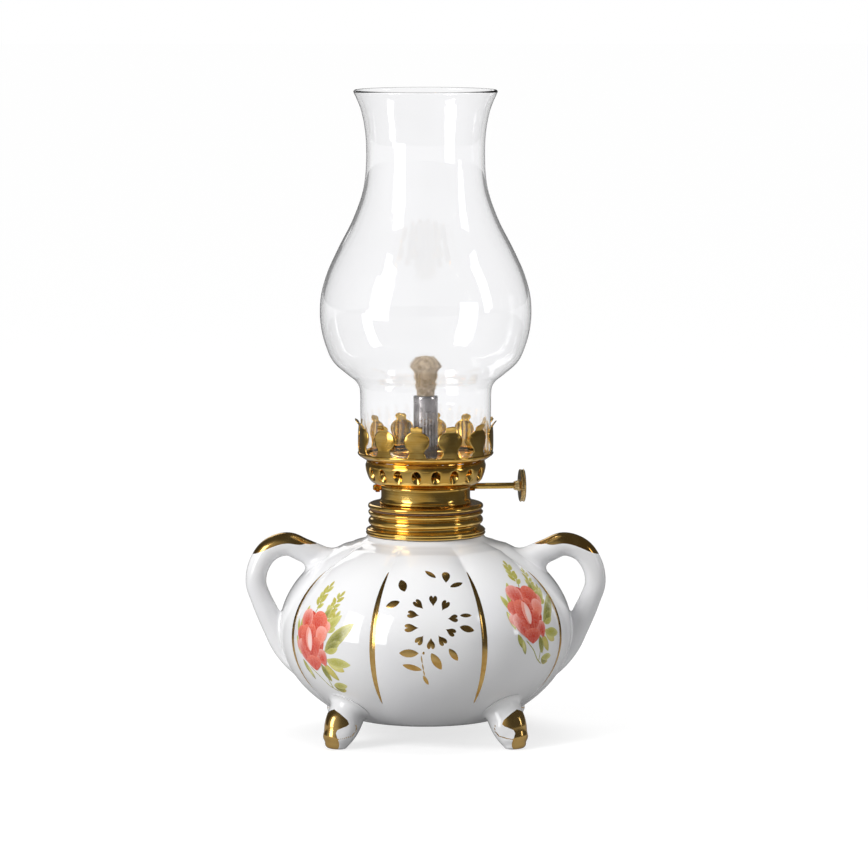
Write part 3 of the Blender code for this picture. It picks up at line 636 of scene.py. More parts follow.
def make_handles(china):
    """Loop handles that flow into the font, with a gold cap over the outer half of the top."""
    rings, way, angle = tube(HANDLE_LINE, 70, 48)
    inner = ease(np.abs(angle), 1.6, 2.8)
    top = root(rings[0], -way[0], 2.6 + 1.4 * inner)[::-1]
    foot = root(rings[-1], way[-1], 1.3 + 4.4 * np.cos(angle / 2) ** 6 + 0.9 * inner)
    loop = np.concatenate([top, rings[1:-1], foot])
    along = (np.arange(len(loop)) - len(top)) / len(rings)
    cap = 1 - np.abs((along - 0.205) / 0.24) ** 3.0
    gilt = np.where(cap[:, None] > 0, np.radians(82) * np.sqrt(np.maximum(cap, 0))[:, None], -1.0)
    gilt = (gilt - np.abs(angle)[None]) * 3.0
    for side, name in ((-1, "left_handle"), (1, "right_handle")):
        form = loop * np.array([side, 1.0, 1.0])
        piece(f"china_{name}", [form], china, "font", [name], {"gilt": gilt.ravel()})


def make_feet(china):
    """Scroll feet: a keeled leg that swells from the font and ends in a flat toe."""
    rings, way, angle = tube(FOOT_LINE, 46, 56)
    share = np.linspace(0.0, 1.0, len(rings))[:, None]
    path = curve_through(FOOT_LINE, 46)
    middle = np.stack([path[:, 0], 0 * path[:, 0], path[:, 1]], axis=1)[:, None]
    keel = 0.12 * np.maximum(np.cos(angle), 0) ** 8 * np.sin(np.pi * np.clip(share * 1.15, 0, 1))
    cheek = 0.08 * np.exp(-(((np.abs(angle) - 1.5) / 0.45) ** 2))
    cheek = cheek * ease(share, 0.1, 0.4) * (1 - ease(share, 0.6, 0.95))
    toe = 0.10 * np.exp(-(((share - 0.86) / 0.10) ** 2)) * np.cos(angle / 2) ** 2
    legs = middle + (rings - middle) * (1 + keel + cheek + toe)[..., None]
    close = np.linspace(0.15, 1.0, 7)[:, None, None] * np.pi / 2
    step = way[-1] * TOE_LENGTH
    tip = middle[-1] + step
    end = tip + (legs[-1][None] + step * np.sin(close) - tip) * np.cos(close)
    top = root(legs[0], -way[0], 1.7 - 0.7 * ease(np.abs(angle), 1.6, 2.8))[::-1]
    leg = np.concatenate([top, legs[1:], end])
    leg[..., 2] = TOE_FLATTEN * np.logaddexp(0.0, leg[..., 2] / TOE_FLATTEN)
    leg[..., 2] -= leg[..., 2].min()
    s = np.clip((np.arange(len(leg)) - (len(leg) - len(legs) - 6)) / (len(legs) - 1), -0.2, 1.1)
    edge = np.interp(s, np.linspace(-0.2, 1.1, 14), FOOT_GILT)
    cap = (np.radians(edge)[:, None] - np.abs(angle)[None]) * 4.0
    curl = np.interp(s, [0.2, 0.4, 0.6, 0.75, 0.85], [88, 101, 94, 72, 45])
    line = 0.27 - np.abs(np.radians(curl)[:, None] - np.abs(angle)[None]) * 4.4
    line = np.where(((s > 0.2) & (s < 0.86))[:, None], line, -1.0)
    gilt = np.maximum(cap, line).ravel()
    for where, degrees in FOOT_ANGLES.items():
        form = turned(leg[..., [1, 0, 2]] * np.array([1.0, -1.0, 1.0]), math.radians(degrees))
        name = f"foot_{where}"
        piece(f"china_{name}", [form], china, "font", [name], {"gilt": gilt})


# ---------------------------------------------------------------- gold and rose decoration

def leaf_outline(length, width):
    """A leaf with two points: (L/2 cos t, W/2 sin t |sin t|^0.6)."""
    t = np.linspace(0.0, 2 * np.pi, 29)
    return length / 2 * np.cos(t), width / 2 * np.sin(t) * np.abs(np.sin(t)) ** 0.6


def drop_outline(length, width):
    """A drop with its point at -x: (-L/2 cos t, W/2 sin t sin(t/2)^0.9), scaled to the width."""
    t = np.linspace(0.0, 2 * np.pi, 29)
    return -length / 2 * np.cos(t), 0.62 * width * np.sin(t) * np.sin(t / 2) ** 0.9


def heart_outline(length, width):
    """A narrow heart with its point at -x, from the sine-cubed heart curve."""
    t = np.linspace(0.0, 2 * np.pi, 37)
    y = 13 * np.cos(t) - 5 * np.cos(2 * t) - 2 * np.cos(3 * t) - np.cos(4 * t)
    return (y + 2.5) / 29 * length, np.sin(t) ** 3 * width / 2


def patch(angle, lift, way, outline, thick, layer=0.0, rings=5):
    """A thin cushion on the china over an outline about a place.

    Its rows run over the top from middle to rim, then back along the underside."""
    share = np.concatenate([np.linspace(0.0, 1.0, rings), np.linspace(1.0, 0.0, 3)[1:]])[:, None]
    x, y = (line[None] * share for line in outline)
    c, s = math.cos(way), math.sin(way)
    proud = layer + thick * np.sqrt(np.maximum(1 - share**2, 0.0))
    proud[-2:] = -0.05
    proud = np.broadcast_to(proud, x.shape)
    return drawn_on_font(angle, lift, x * c - y * s, x * s + y * c, proud)


def spanned(start, end, outline, width, thick=0.05):
    """A patch from one place to another, both given as angle and lift in degrees."""
    middle = [(a + b) / 2 for a, b in zip(start, end)]
    lift = math.radians(middle[1])
    x = math.radians(end[0] - start[0]) * FONT_A * math.cos(lift)
    y = math.radians(end[1] - start[1]) * math.hypot(FONT_A * math.sin(lift), FONT_C * math.cos(lift))
    return patch(*middle, math.atan2(y, x), outline(math.hypot(x, y), width), thick)


def stripe(angle, top, bottom, width):
    """A gold line down a crease: a long lens, (1 - v^2)^0.6 wide, that follows the china across."""
    v = np.linspace(-1.0, 1.0, 90)[:, None]
    u = np.concatenate([np.linspace(-1, 1, 9), np.linspace(1, -1, 5)])[None]
    half = width / 2 * np.maximum(1 - v * v, 0.0) ** 0.6
    lift = np.radians((top + bottom) / 2 + (bottom - top) / 2 * v) + 0 * u
    proud = np.where(np.arange(14) < 9, 0.045 * np.sqrt(1 - 0.9 * u * u), -0.05) + 0 * v
    return on_font(math.radians(angle) + half * u / (FONT_A * np.cos(lift)), lift, proud)


GOLD_LINE_WIDTH = 1.6
# The spray of small gold leaves on a plain lobe: start, end (angle, lift in degrees) and width.
HEARTS = (
    ((3.2, 23.7), (3.4, 29.9), 2.1), ((6.7, 21.4), (9.4, 26.8), 2.1), ((8.8, 17.0), (13.1, 17.3), 2.1),
    ((7.8, 11.5), (11.6, 8.7), 2.1), ((4.9, 8.2), (7.5, 3.1), 2.1), ((2.1, 7.1), (2.1, 0.7), 2.1),
    ((-0.7, 8.2), (-3.3, 3.6), 2.1), ((-2.5, 12.2), (-8.2, 12.1), 2.2), ((-2.4, 18.8), (-7.3, 19.9), 2.1),
    ((-0.8, 22.4), (-4.6, 27.1), 2.1),
)
LEAVES = (
    ((-0.1, 45.1), (5.3, 40.5), 1.4), ((11.5, 34.9), (18.4, 37.8), 1.4),
    ((-9.4, 32.3), (-12.3, 39.5), 2.2),
    ((-17.0, 23.7), (-11.1, 26.5), 2.0), ((14.1, 18.7), (19.2, 18.7), 1.1),
    ((13.6, 12.5), (19.5, 10.2), 1.8), ((9.0, 0.8), (12.6, -6.0), 1.7),
    ((2.2, -1.5), (6.2, -10.9), 2.15), ((-10.1, -1.7), (-2.6, -1.7), 2.15),
    ((-8.9, -8.3), (-1.4, -11.1), 1.6), ((-0.9, -14.3), (1.2, -20.1), 1.0),
    ((-1.6, -2.7), (-1.2, -7.5), 0.35),
    ((-1.2, -7.3), (-0.7, -11.4), 0.35), ((-0.8, -11.2), (-0.3, -14.6), 0.35),
)
DROPS = (((9.9, 37.6), (11.0, 44.3), 2.2), ((-1.2, -1.4), (-0.3, -1.5), 0.8))


def make_gold(gilding):
    """Gold lines in every crease, and the leaf spray on the front and back lobes."""
    lines = []
    for i in range(LOBES):
        top, bottom = (46, -36) if i % 4 in (0, 3) else (41, -32)
        angle = math.degrees(LOBE_TURN) + (i + 0.5) * 360 / LOBES
        lines.append(stripe(angle, top, bottom, GOLD_LINE_WIDTH))
    piece("crease_gold", lines, gilding, "font")
    for name, turn in (("front", 0.0), ("back", 180.0)):
        grids = []
        for outline, marks in ((heart_outline, HEARTS), (leaf_outline, LEAVES), (drop_outline, DROPS)):
            for start, end, width in marks:
                moved = [(turn + a, b) for a, b in (start, end)]
                grids.append(spanned(*moved, outline, width))
        piece(f"gold_spray_{name}", grids, gilding, "font")


RED = (0.62, 0.055, 0.03)
CORAL = (0.82, 0.20, 0.13)
PINK = (0.90, 0.42, 0.36)
BLUSH = (0.90, 0.66, 0.62)
OLIVE = (0.20, 0.20, 0.02)
LEAF = (0.42, 0.40, 0.07)
LIME = (0.68, 0.65, 0.24)
STRAW = (0.60, 0.50, 0.11)

# Petals, back ones first: x, y of the middle, length, width, way in degrees, colour at the base and
# at the rim.
PETALS = (
    (-0.4, 0.2, 14.8, 9.8, 96, RED, RED),
    (-4.3, -2.2, 5.6, 3.0, 150, RED, PINK),
    (4.6, 3.2, 5.0, 3.0, 52, CORAL, PINK),
    (-2.6, 4.6, 6.8, 4.6, 105, RED, PINK),
    (2.0, 4.3, 7.0, 5.4, 62, RED, CORAL),
    (-4.0, 0.6, 6.0, 3.8, 128, RED, CORAL),
    (3.7, 1.3, 5.6, 3.8, 75, CORAL, PINK),
    (-3.2, -3.4, 7.4, 3.6, 118, RED, PINK),
    (4.1, -4.2, 4.8, 3.4, 110, RED, PINK),
    (0.6, -6.0, 4.2, 5.4, 92, RED, CORAL),
    (-1.9, -0.4, 8.6, 4.4, 100, RED, CORAL),
    (2.0, -1.6, 5.4, 3.2, 84, RED, CORAL),
    (0.1, 1.9, 4.6, 3.0, 84, RED, CORAL),
    (-0.5, -0.1, 7.4, 3.4, 96, RED, RED),
    (-0.9, 0.3, 6.4, 2.2, 98, CORAL, PINK),
    (-0.4, 0.1, 6.0, 1.9, 96, BLUSH, PINK),
)
# Leaves: x, y of the stalk end, x, y of the tip, width, colour at the stalk and at the tip.
GREENS = (
    (5.2, -2.4, 13.6, 5.6, 3.6, OLIVE, LIME),
    (5.4, -2.5, 10.6, 1.2, 2.6, OLIVE, LIME),
    (5.6, -2.6, 9.6, -1.2, 2.0, LEAF, LIME),
    (5.6, -4.4, 10.6, -7.4, 2.9, LIME, STRAW),
    (4.2, -5.6, 7.8, -10.2, 2.2, STRAW, LEAF),
    (3.2, -6.0, 5.0, -10.8, 1.9, OLIVE, LEAF),
    (-4.6, -5.6, -2.6, -9.4, 1.6, LEAF, OLIVE),
    (-3.2, -6.8, -1.6, -11.0, 1.4, LIME, OLIVE),
    (5.0, -12.2, 8.4, -13.2, 2.4, OLIVE, STRAW),
    (-5.4, 2.2, -4.9, 6.4, 1.1, LEAF, LIME),
    (-4.3, 5.8, -3.4, 8.8, 1.1, LEAF, LIME),
    (-5.2, -4.4, -7.2, 0.6, 1.5, LIME, LEAF),
    (-5.6, 0.4, -7.4, 5.0, 1.6, LEAF, LIME),
    (4.6, 2.0, 9.4, 7.4, 2.4, LEAF, LIME),
    (3.2, 4.2, 5.4, 9.6, 2.0, OLIVE, LIME),
    (5.6, -4.8, 13.0, -5.4, 2.6, LEAF, LIME),
    (5.0, -12.0, 9.6, -11.6, 2.0, LEAF, LIME),
)
# Thin stems: points from the flower to the end.
STEMS = (
    ((-1.6, -7.4), (1.2, -9.8), (3.6, -12.6), (5.4, -13.6)),
    ((3.6, -6.6), (4.0, -9.6), (4.2, -12.8)),
    ((-0.4, 6.6), (0.6, 9.4), (0.2, 12.6)),
    ((3.4, 4.6), (5.2, 7.0), (6.6, 10.0)),
)
# Sprays of small leaves: foot and head of the twig, and how many pairs it carries.
SPRAYS = (((-0.4, 7.0), (0.8, 14.0), 4), ((4.0, 3.2), (6.4, 12.0), 5), ((5.4, 1.8), (7.6, 6.6), 3))


def make_rose(name, angle, lift, tilt, rose):
    """A rose with leaves and sprays, its middle at an angle and a lift in degrees, tilted.

    Each petal or leaf is a thin cushion whose colour runs from its base to its rim."""
    rng = np.random.default_rng(SEED)
    grids, paints = [], []
    c, s = math.cos(tilt), math.sin(tilt)

    def add(x, y, length, width, way, outline, inner, rim, layer, rings=7):
        """One cushion in the rose's own X and Y, from inner at its foot to rim at its edge and tip."""
        shape = outline(length, width)
        where = (x * c - y * s, x * s + y * c)
        share = np.concatenate([np.linspace(0.0, 1.0, rings), [0.5, 0.0]])[:, None]
        turn = way + tilt
        px, py = (line[None] * share for line in shape)
        gx = where[0] + px * math.cos(turn) - py * math.sin(turn)
        gy = where[1] + px * math.sin(turn) + py * math.cos(turn)
        proud = layer + 0.012 * np.sqrt(np.maximum(1 - share**2, 0.0)) + 0 * gx
        proud[-2:] = -0.04
        grids.append(drawn_on_font(angle, lift, gx, gy, proud)[::-1])
        tip = np.clip(px / length + 0.5, 0, 1)
        vein = 0.12 * np.sin(py / width * 26 + px * 1.3) * share
        mix = np.clip(0.62 * share**2.2 + 0.55 * tip**1.6 - 0.16 + vein, 0, 1)[..., None]
        paints.append((np.array(inner) * (1 - mix) + np.array(rim) * mix)[::-1].reshape(-1, 3))

    def run(x0, y0, x1, y1, width, inner, rim, layer, rings=7, stretch=1.0):
        """A leaf-shaped cushion from one point to another, or a little past both."""
        length = math.hypot(x1 - x0, y1 - y0) * stretch
        way = math.atan2(y1 - y0, x1 - x0)
        add((x0 + x1) / 2, (y0 + y1) / 2, length, width, way, leaf_outline, inner, rim, layer, rings)

    for i, leaf in enumerate(GREENS):
        run(*leaf, 0.014 + 0.002 * i)
    for (x0, y0), (x1, y1), pairs in SPRAYS:
        way = math.atan2(y1 - y0, x1 - x0)
        for k in range(2 * pairs + 1):
            share = 0.2 + 0.8 * k / (2 * pairs)
            side = 0.0 if k == 2 * pairs else (1 if k % 2 else -1) * rng.uniform(0.5, 0.9)
            size = rng.uniform(2.2, 3.1) * (1.15 - 0.4 * share)
            heading = way + side
            x = x0 + (x1 - x0) * share + math.cos(heading) * size / 2
            y = y0 + (y1 - y0) * share + math.sin(heading) * size / 2
            add(x, y, size, 0.5 * size, heading, leaf_outline, LEAF, STRAW if k % 3 else LIME, 0.016, 4)
    for points in STEMS:
        line = curve_through(points, 8)
        for start, end in zip(line[:-1], line[1:]):
            run(*start, *end, 0.32, LEAF, OLIVE, 0.010, 4, stretch=1.5)
    for i, (x, y, length, width, way, inner, rim) in enumerate(PETALS):
        shape = drop_outline if 0 < i < 13 else leaf_outline
        add(x, y, length, width * 1.1, math.radians(way), shape, inner, rim, 0.045 + 0.006 * i, 12)
    piece(name, grids, rose, "font", values={"paint": np.concatenate(paints)})


# ---------------------------------------------------------------- burner

def brass_ring(name, outline, finish, radius, replaces=()):
    """A turned closed ring with softened corners, on the burner."""
    grid = turned(lathe(rounded(outline, radius)), BURNER_TURN)
    return piece(name, [grid], finish, "burner", replaces)


def make_collar(brass):
    """The rolled collar: threaded beads that climb slightly round it, and a plain bore."""
    outer = curve_through(COLLAR_LINE, 70)
    bore = [(14.95, 53.4), (14.9, 53.6), (14.9, 54.9), (13.9, 55.3), (13.9, 59.6), (14.1, 59.7)]
    sides = 160
    grid = lathe(np.vstack([outer, bore, outer[:1]]), sides)
    angle = np.linspace(0.0, 2 * np.pi, sides + 1)[None]
    height = grid[..., 2]
    window = ease(height, 54.6, 55.6) * (1 - ease(height, 58.2, 59.2))
    grid[..., 2] = height + 0.16 * window * np.sin(angle)
    uneven = waves(grid * np.array([1.0, 1.0, 3.0]), 4.0, 3) * (from_axis(grid) > 14.2)
    grid[..., :2] *= 1 + 0.0016 * uneven[..., None]
    piece("rolled_collar", [grid], brass, "font", ["collar"])


def make_flange_and_neck(brass):
    """The flange with its skirt, and the neck with its foot bead and top step."""
    flange = (
        (3.5, 61.4), (12.6, 61.4), (13.1, 61.55), (14.6, 61.5), (15.15, 61.15), (15.15, 60.5),
        (14.8, 60.2), (13.0, 60.2), (13.0, 55.8), (12.4, 55.8), (12.4, 60.7), (3.5, 60.7),
    )
    brass_ring("flange", flange, brass, 0.25, ["burner_base"])
    throat = (
        (11.75, 66.35), (11.85, 65.9), (11.7, 65.6), (11.7, 63.0), (11.9, 62.5),
        (12.1, 62.3), (12.1, 61.75), (12.0, 61.6), (11.25, 61.6), (11.25, 66.35),
    )
    brass_ring("burner_throat", throat, brass, 0.18, ["burner_neck"])


def make_bowl(brass):
    """The gallery bowl: a spun wall with punched oval holes, each with a scooped tongue below."""
    line = curve_through(BOWL_LINE, 60)
    length = np.concatenate(([0.0], np.cumsum(np.linalg.norm(np.diff(line, axis=0), axis=1))))
    slope = outward(line)
    centre = float(np.interp(AIR_HOLE_Z, line[:, 1], length))
    # Steps across one hole's panel, half its angle, half its height, and the radius it is drawn at.
    across, half, reach, band = 12, math.pi / AIR_HOLES, 2.05, 15.4

    def lay(angle, run, depth=0.0):
        """Points at an angle and a run up the wall, pushed in by depth."""
        r, z, nr, nz = (np.interp(run, length, column) for column in (*line.T, *slope.T))
        return around(r - depth * nr, angle, z - depth * nz)

    side = np.linspace(-1.0, 1.0, across + 1)
    u = np.concatenate([side[:-1], np.ones(across), side[::-1][:-1], -np.ones(across + 1)])
    v = np.concatenate([-np.ones(across), side[:-1], np.ones(across), side[::-1]])
    t = np.arctan2(v, u)
    oval = np.stack([AIR_HOLE[0] * np.cos(t), AIR_HOLE[1] * np.sin(t)])
    panel = np.stack([u * half * band, v * reach])
    share = np.linspace(1.0, 0.0, 7)[:, None]
    lower = np.clip(-np.sin(t), 0.0, 1.0) ** 0.7
    q = np.linspace(0.2, 1.0, 5)[:, None]
    around_x, around_y = (panel[i] * share + oval[i] * (1 - share) for i in (0, 1))
    x = np.vstack([around_x, oval[0] * (1 - q * (0.08 + 0.30 * lower))])
    y = np.vstack([around_y, oval[1] * (1 - 0.08 * q) + 1.25 * q * lower])
    depth = np.vstack([0.10 * (1 - share) ** 6 + 0 * oval[0], 0.1 + q * (0.28 + 0.95 * lower)])
    grids = []
    for hole in range(AIR_HOLES):
        at = AIR_HOLE_FIRST + 2 * math.pi * hole / AIR_HOLES
        grids.append(lay(at + x / band, centre + y, depth))
    angle = AIR_HOLE_FIRST - half + np.linspace(0, 2 * np.pi, AIR_HOLES * across + 1)
    below = np.linspace(0.0, centre - reach, 16)[:, None] + 0 * angle
    above = np.linspace(centre + reach, length[-1], 10)[:, None] + 0 * angle
    grids += [lay(angle + 0 * below, below)[:, ::-1], lay(angle + 0 * above, above)[:, ::-1]]
    bowl = piece("air_bowl", grids, brass, "burner", ["gallery_bowl"], sharp=50.0)
    sheet_wall(bowl, SHEET_BOWL)
    rings = (
        (15.3, 73.0), (15.6, 72.85), (15.35, 72.65), (15.65, 72.45), (15.3, 72.3), (15.0, 72.3),
        (15.0, 73.0),
    )
    brass_ring("bowl_step_rings", rings, brass, 0.12)


def make_crown(brass):
    """The crown ring with its slightly uneven lip, twelve cupped sheet prongs and the air deck."""
    ring = (
        (17.7, 75.1), (17.95, 74.75), (17.6, 74.2), (16.1, 73.25), (15.2, 73.05),
        (14.9, 73.05), (14.9, 73.8), (15.5, 74.15), (17.1, 75.0),
    )
    grid = lathe(rounded(ring, 0.25), 192)
    rim = ease(from_axis(grid), 15.5, 17.5)
    grid[..., 2] += 0.10 * rim * waves(grid, 2.2, 5)
    grid[..., :2] *= (1 + 0.004 * rim * waves(grid, 3.0, 6))[..., None]
    piece("crown_ring", [grid], brass, "burner", ["chimney_crown"])
    shape = curve_through(PRONG_LINE, 52)
    u = np.linspace(-1.0, 1.0, 15)[None]
    height, radius, width = (column[:, None] for column in shape.T)
    cup = 0.20 * (u * u) * ease(height, 76.5, 78.5) * (1 - ease(height, 80.5, 82.0))
    rng = np.random.default_rng(SEED)
    prongs = []
    for i in range(PRONGS):
        at = PRONG_FIRST + 2 * math.pi * i / PRONGS + rng.normal(0, 0.006)
        lean = rng.normal(0.0, 0.05) * ease(height, 75.5, 83.5)
        twist = rng.normal(0.0, 0.03) * u * ease(height, 76.0, 80.0)
        r = radius - cup + lean + twist + 0.03 * np.sin(np.pi * u)
        angle = at + u * width / radius
        prongs.append(around(r, angle, height)[:, ::-1])
    crown = piece("crown_prongs", prongs, brass, "burner", closed=False, sharp=60.0)
    sheet_wall(crown, SHEET_PRONG)
    deck = ((14.6, 74.3), (14.6, 73.8), (8.2, 73.8), (8.2, 74.25), (8.6, 74.45), (9.0, 74.3))
    brass_ring("air_deck", deck, brass, 0.15, ["deck_plate"])


def make_wick_tube(steel):
    """The steel tube, with its slot open at the back for the wheels."""
    low, high = (v.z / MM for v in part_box("wick_tube"))
    below = np.linspace(low, SLOT_LOW, 8)
    beside = np.linspace(SLOT_LOW, SLOT_HIGH, 9)[1:]
    height = np.concatenate([below, beside, np.linspace(SLOT_HIGH, high, 30)[1:]])
    grid = turned(lathe(np.stack([TUBE_RADIUS + 0 * height, height], axis=1), 96), BURNER_TURN)
    tube_piece = piece("steel_wick_tube", [grid], steel, "burner", ["wick_tube"], closed=False)
    work = bmesh.new()
    work.from_mesh(tube_piece.data)
    c, s = math.cos(BURNER_TURN), math.sin(BURNER_TURN)
    slot = []
    for face in work.faces:
        x, y, z = face.calc_center_median() / MM
        back, aside = y * c - x * s, x * c + y * s
        if back > 0 and abs(aside) < SLOT_HALF and SLOT_LOW < z < SLOT_HIGH:
            slot.append(face)
    bmesh.ops.delete(work, geom=slot, context="FACES")
    work.to_mesh(tube_piece.data)
    work.free()
    sheet_wall(tube_piece, TUBE_WALL)


def make_shaft_and_knob(brass, knob_brass):
    """The raiser's spindle with turned ends, and the thumb knob: a grooved, milled disc on a small hub."""
    shaft = np.array([
        (0.0, 27.2), (0.55, 27.2), (0.8, 26.95), (0.8, 20.0), (0.8, 8.0), (0.8, 0.0), (0.8, -8.0),
        (0.8, -13.15), (0.55, -13.4), (0.0, -13.4),
    ])
    rod = along_shaft(lathe(shaft, ROD_SIDES))
    piece("raiser_spindle", [rod], brass, "wick_shaft", ["wick_shaft"])
    disc = (
        (0.9, 27.2), (1.4, 27.1), (1.6, 26.65), (3.2, 26.6), (3.5, 26.85), (4.15, 26.85), (4.35, 26.7),
        (4.35, 26.55), (4.2, 26.45), (4.2, 25.95), (4.35, 25.85), (4.35, 25.7), (4.15, 25.55), (1.9, 25.6),
        (1.45, 25.4), (1.2, 24.3), (1.05, 24.0), (0.9, 24.0),
    )
    grid = lathe(rounded(disc, 0.10), 240)
    radius = from_axis(grid)
    angle = np.arctan2(grid[..., 0], -grid[..., 1])
    mill = 0.05 * np.abs(np.sin(24 * angle)) * ease(radius, 4.1, 4.17)
    grid[..., :2] *= (1 - mill / np.maximum(radius, 0.1))[..., None]
    piece("thumb_knob", [along_shaft(grid)], knob_brass, "wick_shaft", ["knob"])


def make_wick(cotton):
    """The round wick: braided below, teased out into a frayed head with loose fibres."""
    low, high = (v.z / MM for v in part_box("wick"))
    top = curve_through(WICK_LINE, 110)
    even = np.linspace(low, WICK_LINE[0][1], 12)[:-1, None]
    dense = np.vstack([[(0.0, low)], np.hstack([0 * even + WICK_RADIUS, even]), top])
    grid = lathe(dense, 72)
    angle = np.linspace(0.0, 2 * np.pi, 73)[None]
    height = grid[..., 2]
    bare = ease(height, 92.0, 96.0)
    braid = np.abs(np.sin(4 * angle + height * 1.4)) * np.abs(np.sin(4 * angle - height * 1.4))
    fuzz = waves(grid * np.array([1.0, 1.0, 0.6]), 0.32, 8)
    tuft = np.sin(9 * angle + 2.0 * np.sin(height)) * bare
    push = 0.10 * (braid - 0.5) * (1 - bare) + 0.07 * fuzz + 0.04 * tuft
    push = push + 0.10 * bare * waves(grid, 0.7, 9)
    grid[..., :2] *= (1 + np.clip(push, -0.5, 0.3) / 3.0)[..., None]
    grid[..., 2] += np.where(height > 98.5, 0.25 * waves(grid, 0.8, 10), 0.0)
    # Painted shade: the wick's body is lighter where fuzz and tufts push it out and darker in the braid's
    # grooves, following its relief.
    painted_shade_and_tone = (0.5 + 0.3 * fuzz + 0.1 * tuft - 0.2 * (1 - braid) * (1 - bare)).ravel()

    rng = np.random.default_rng(SEED)
    z = rng.uniform(92.3, 99.9, FIBRES)
    r = np.interp(z, top[:, 1], top[:, 0]) * rng.uniform(0.90, 0.99, FIBRES)
    a = rng.uniform(0, 2 * np.pi, FIBRES)
    head = ease(z, 92.5, 97.0)
    foot = around(r, a, z)
    out = around(1.0, a, 0.0)
    way = out * (0.45 + 0.25 * head)[:, None] + [0, 0, 1] * (0.4 + 0.3 * head)[:, None]
    way = unit(way + rng.normal(0, 0.55, (FIBRES, 3)))
    size = rng.uniform(0.3, 0.7, FIBRES) + 0.45 * head * rng.uniform(0, 1, FIBRES)
    bend = rng.normal(0, 0.35, (FIBRES, 3))
    t = np.linspace(0, 1, 5)[None, :, None]
    middle = foot[:, None] + size[:, None, None] * (way[:, None] * t + bend[:, None] * t * t * 0.6)
    middle[..., 2] = np.minimum(middle[..., 2], high - 0.1)
    thick = 0.03 * (1 - 0.8 * t)
    ring = np.linspace(0, 2 * np.pi, 4)
    one = unit(np.cross(way, out + [0.01, 0.02, 0.03]))
    two = np.cross(way, one)
    spin = np.cos(ring)[:, None] * one[:, None] + np.sin(ring)[:, None] * two[:, None]
    strands = middle[:, :, None] + thick[..., None] * spin[:, None]
    # The loose fibres each get a random tone, after the painted shade of the wick's body.
    painted_shade_and_fibre_tone = np.concatenate([painted_shade_and_tone, rng.uniform(0.3, 1.0, FIBRES).repeat(strands[0, ..., 0].size)])
    piece(
        "cotton_wick", [grid, *strands], cotton, "wick", ["wick"], {"painted_shade_and_tone": painted_shade_and_fibre_tone}, sharp=80.0
    )


def make_chimney(glass):
    """The blown chimney: one wall carried round its bulge, with a fire-polished bead at the top."""
    outer = curve_through(GLASS_LINE, 120)
    inner = outer - outward(outer) * GLASS_WALL
    t = np.linspace(0.0, np.pi, 11)[1:-1, None]
    middle = (outer[-1] + inner[-1]) / 2
    arm = (outer[-1] - inner[-1]) / 2
    up = np.array([0.35, 0.94]) * GLASS_WALL * 0.62
    bead = middle + arm * np.cos(t) * 1.08 + up * np.sin(t)
    foot = [(16.75, 75.3), (16.2, 75.3)]
    ring = np.vstack([outer, bead, inner[::-1], foot[::-1], outer[:1]])
    piece("glass_chimney", [lathe(ring, 160)], glass, "chimney", ["chimney_glass"], sharp=60.0)


# ---------------------------------------------------------------- studio

def lamp_light(name, place, size, power, unseen):
    """A rectangular soft light that faces the lamp's middle, unseen by some kinds of ray."""
    light = bpy.data.lights.new(name, "AREA")
    light.shape = "RECTANGLE"
    light.size, light.size_y = size
    light.energy = power
    obj = placed(name, light)
    obj.location = place
    way = obj.location * -1
    way.z += LIGHT_AIM
    obj.rotation_euler = way.to_track_quat("-Z", "Y").to_euler()
    for kind in unseen:
        setattr(obj, f"visible_{kind}", False)


def grey(level):
    """A neutral colour."""
    return (level, level, level)


def make_floor():
    """A pale floor that glows a little more further out, so that it has no visible edge.

    Its glow is bright for the camera's own rays and those that come through the glass; reflections and
    soft light see it dim, a little lighter towards the left windows."""
    mesh = bpy.data.meshes.new("floor")
    mesh.from_pydata([(-6, -6, 0), (6, -6, 0), (6, 6, 0), (-6, 6, 0)], [], [(0, 1, 2, 3)])
    obj = placed("floor", mesh)
    paper = Finish("floor_paper", Roughness=0.9, Specular_IOR_Level=0.0, Emission_Strength=1.0)
    away = paper.node("ShaderNodeVectorMath", {"operation": "LENGTH"}, {0: paper.place()}, output=1)
    far = away.step(0.05, 0.35)
    left = paper.node(
        "ShaderNodeVectorMath", {"operation": "DOT_PRODUCT"}, {0: paper.place(), 1: (-0.76, -0.64, 0.0)}, 1
    )
    dim = paper.blend(left.step(0.1, 0.6), grey(0.05), grey(0.40))
    bounced = (paper.ray("Glossy Depth") + paper.ray("Diffuse Depth")).step(0.0, 1.0)
    through = paper.ray("Transmission Depth") * (1 - 0.6 * bounced)
    seen = (paper.ray("Is Camera Ray") + through).step(0.0, 1.0)
    paper.set(
        Base_Color=paper.blend(far, grey(0.34), grey(0.03)),
        Emission_Color=paper.blend(seen, dim, paper.blend(far, grey(0.72), grey(0.99))),
    )
    mesh.materials.append(paper.material)


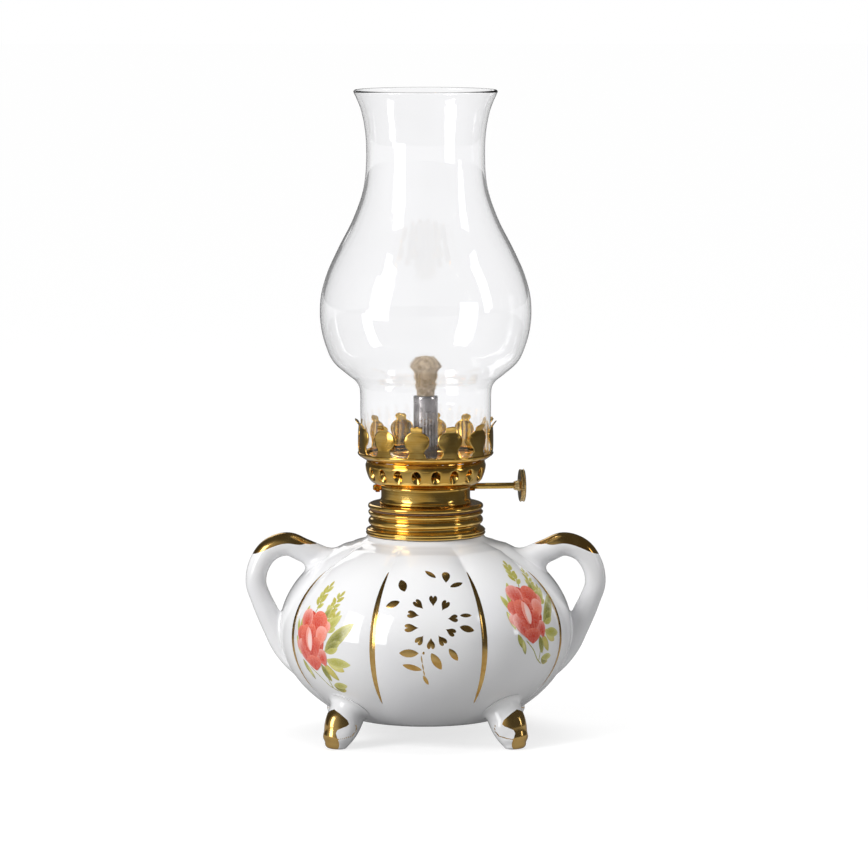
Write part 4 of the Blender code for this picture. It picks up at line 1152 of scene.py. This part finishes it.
def make_world():
    """White for the camera's own rays and, less so, through the glass; dim for all others."""
    world = bpy.data.worlds.new("studio")
    sky = Nodes(world)
    toward = sky.node(
        "ShaderNodeVectorMath",
        {"operation": "DOT_PRODUCT"},
        {0: sky.node("ShaderNodeTexCoord", output="Generated"), 1: (-0.76, -0.64, 0.10)},
        "Value",
    )
    glow = sky.node(
        "ShaderNodeMapRange",
        {"interpolation_type": "SMOOTHSTEP"},
        {
            "Value": toward, "From Min": 0.62, "From Max": 0.90,
            "To Min": SURROUNDINGS, "To Max": WINDOW_GLOW,
        },
    )
    behind = sky.ray("Transmission Depth").math("GREATER_THAN", 0.5)
    direct = sky.ray("Diffuse Depth").math("GREATER_THAN", 0.5, swap=True)
    clean = sky.node(
        "ShaderNodeMapRange", {}, {"Value": sky.ray("Glossy Depth"), "To Min": 1.0, "To Max": 0.35}
    )
    seen = behind * direct * clean + glow
    strength = sky.node(
        "ShaderNodeMath",
        {"operation": "MAXIMUM", "use_clamp": True},
        {0: seen, 1: sky.ray("Is Camera Ray")},
    )
    backing = sky.tree.nodes["Background"]
    sky.feed(backing.inputs["Color"], (1.0, 1.0, 1.0, 1.0))
    sky.feed(backing.inputs["Strength"], strength)
    return world


def make_studio():
    """Floor, surroundings, soft lights from both sides and above, and the camera."""
    scene = bpy.context.scene
    scene.world = make_world()
    make_floor()
    for light in LIGHTS:
        lamp_light(*light)
    camera = bpy.data.cameras.new("camera")
    camera.lens = CAMERA_LENS
    camera.sensor_width = CAMERA_SENSOR
    eye = placed("camera", camera)
    eye.location = CAMERA_PLACE
    eye.rotation_euler = (math.radians(90 - CAMERA_DOWN), 0.0, 0.0)
    scene.camera = eye
    scene.view_settings.view_transform = "Standard"
    scene.view_settings.look = "None"


def main():
    """Makes every visible piece and its finish."""
    china = china_finish()
    bright, deep = (0.95, 0.64, 0.19), (0.83, 0.47, 0.08)
    brass = brass_finish("lacquered_brass", bright, deep, 0.09, (60.0, 60.0, 5200.0))
    bright, deep = (0.86, 0.64, 0.30), (0.66, 0.42, 0.15)
    knob_brass = brass_finish("milled_brass", bright, deep, 0.14, (5200.0, 60.0, 60.0))
    make_font(china)
    make_handles(china)
    make_feet(china)
    make_gold(gilding_finish())
    rose = rose_finish()
    for back, turn in (("", 0), ("back_", 180)):
        make_rose(f"rose_{back}left", turn - 50.3, 1.2, 0.0, rose)
        make_rose(f"rose_{back}right", turn + 46.2, 16.5, -0.1, rose)
    make_collar(brass)
    make_flange_and_neck(brass)
    make_bowl(brass)
    make_crown(brass)
    make_wick_tube(steel_finish())
    make_shaft_and_knob(brass, knob_brass)
    make_wick(cotton_finish())
    make_chimney(glass_finish())
    plaster = plain_finish("plaster", (0.72, 0.70, 0.64), (0.86, 0.84, 0.79), 0.85, 1600.0)
    fibre = plain_finish("pressed_fibre", (0.12, 0.07, 0.045), (0.26, 0.16, 0.10), 0.75, 2400.0)
    kept = {"collar_cement": plaster, "seal_washer": fibre}
    kept.update(dict.fromkeys(("shaft_bush", "shaft_clip", "wick_wheel_left", "wick_wheel_right"), brass))
    for name, finish in kept.items():
        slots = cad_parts[name].data.materials
        slots.clear()
        slots.append(finish)
    make_studio()


main()
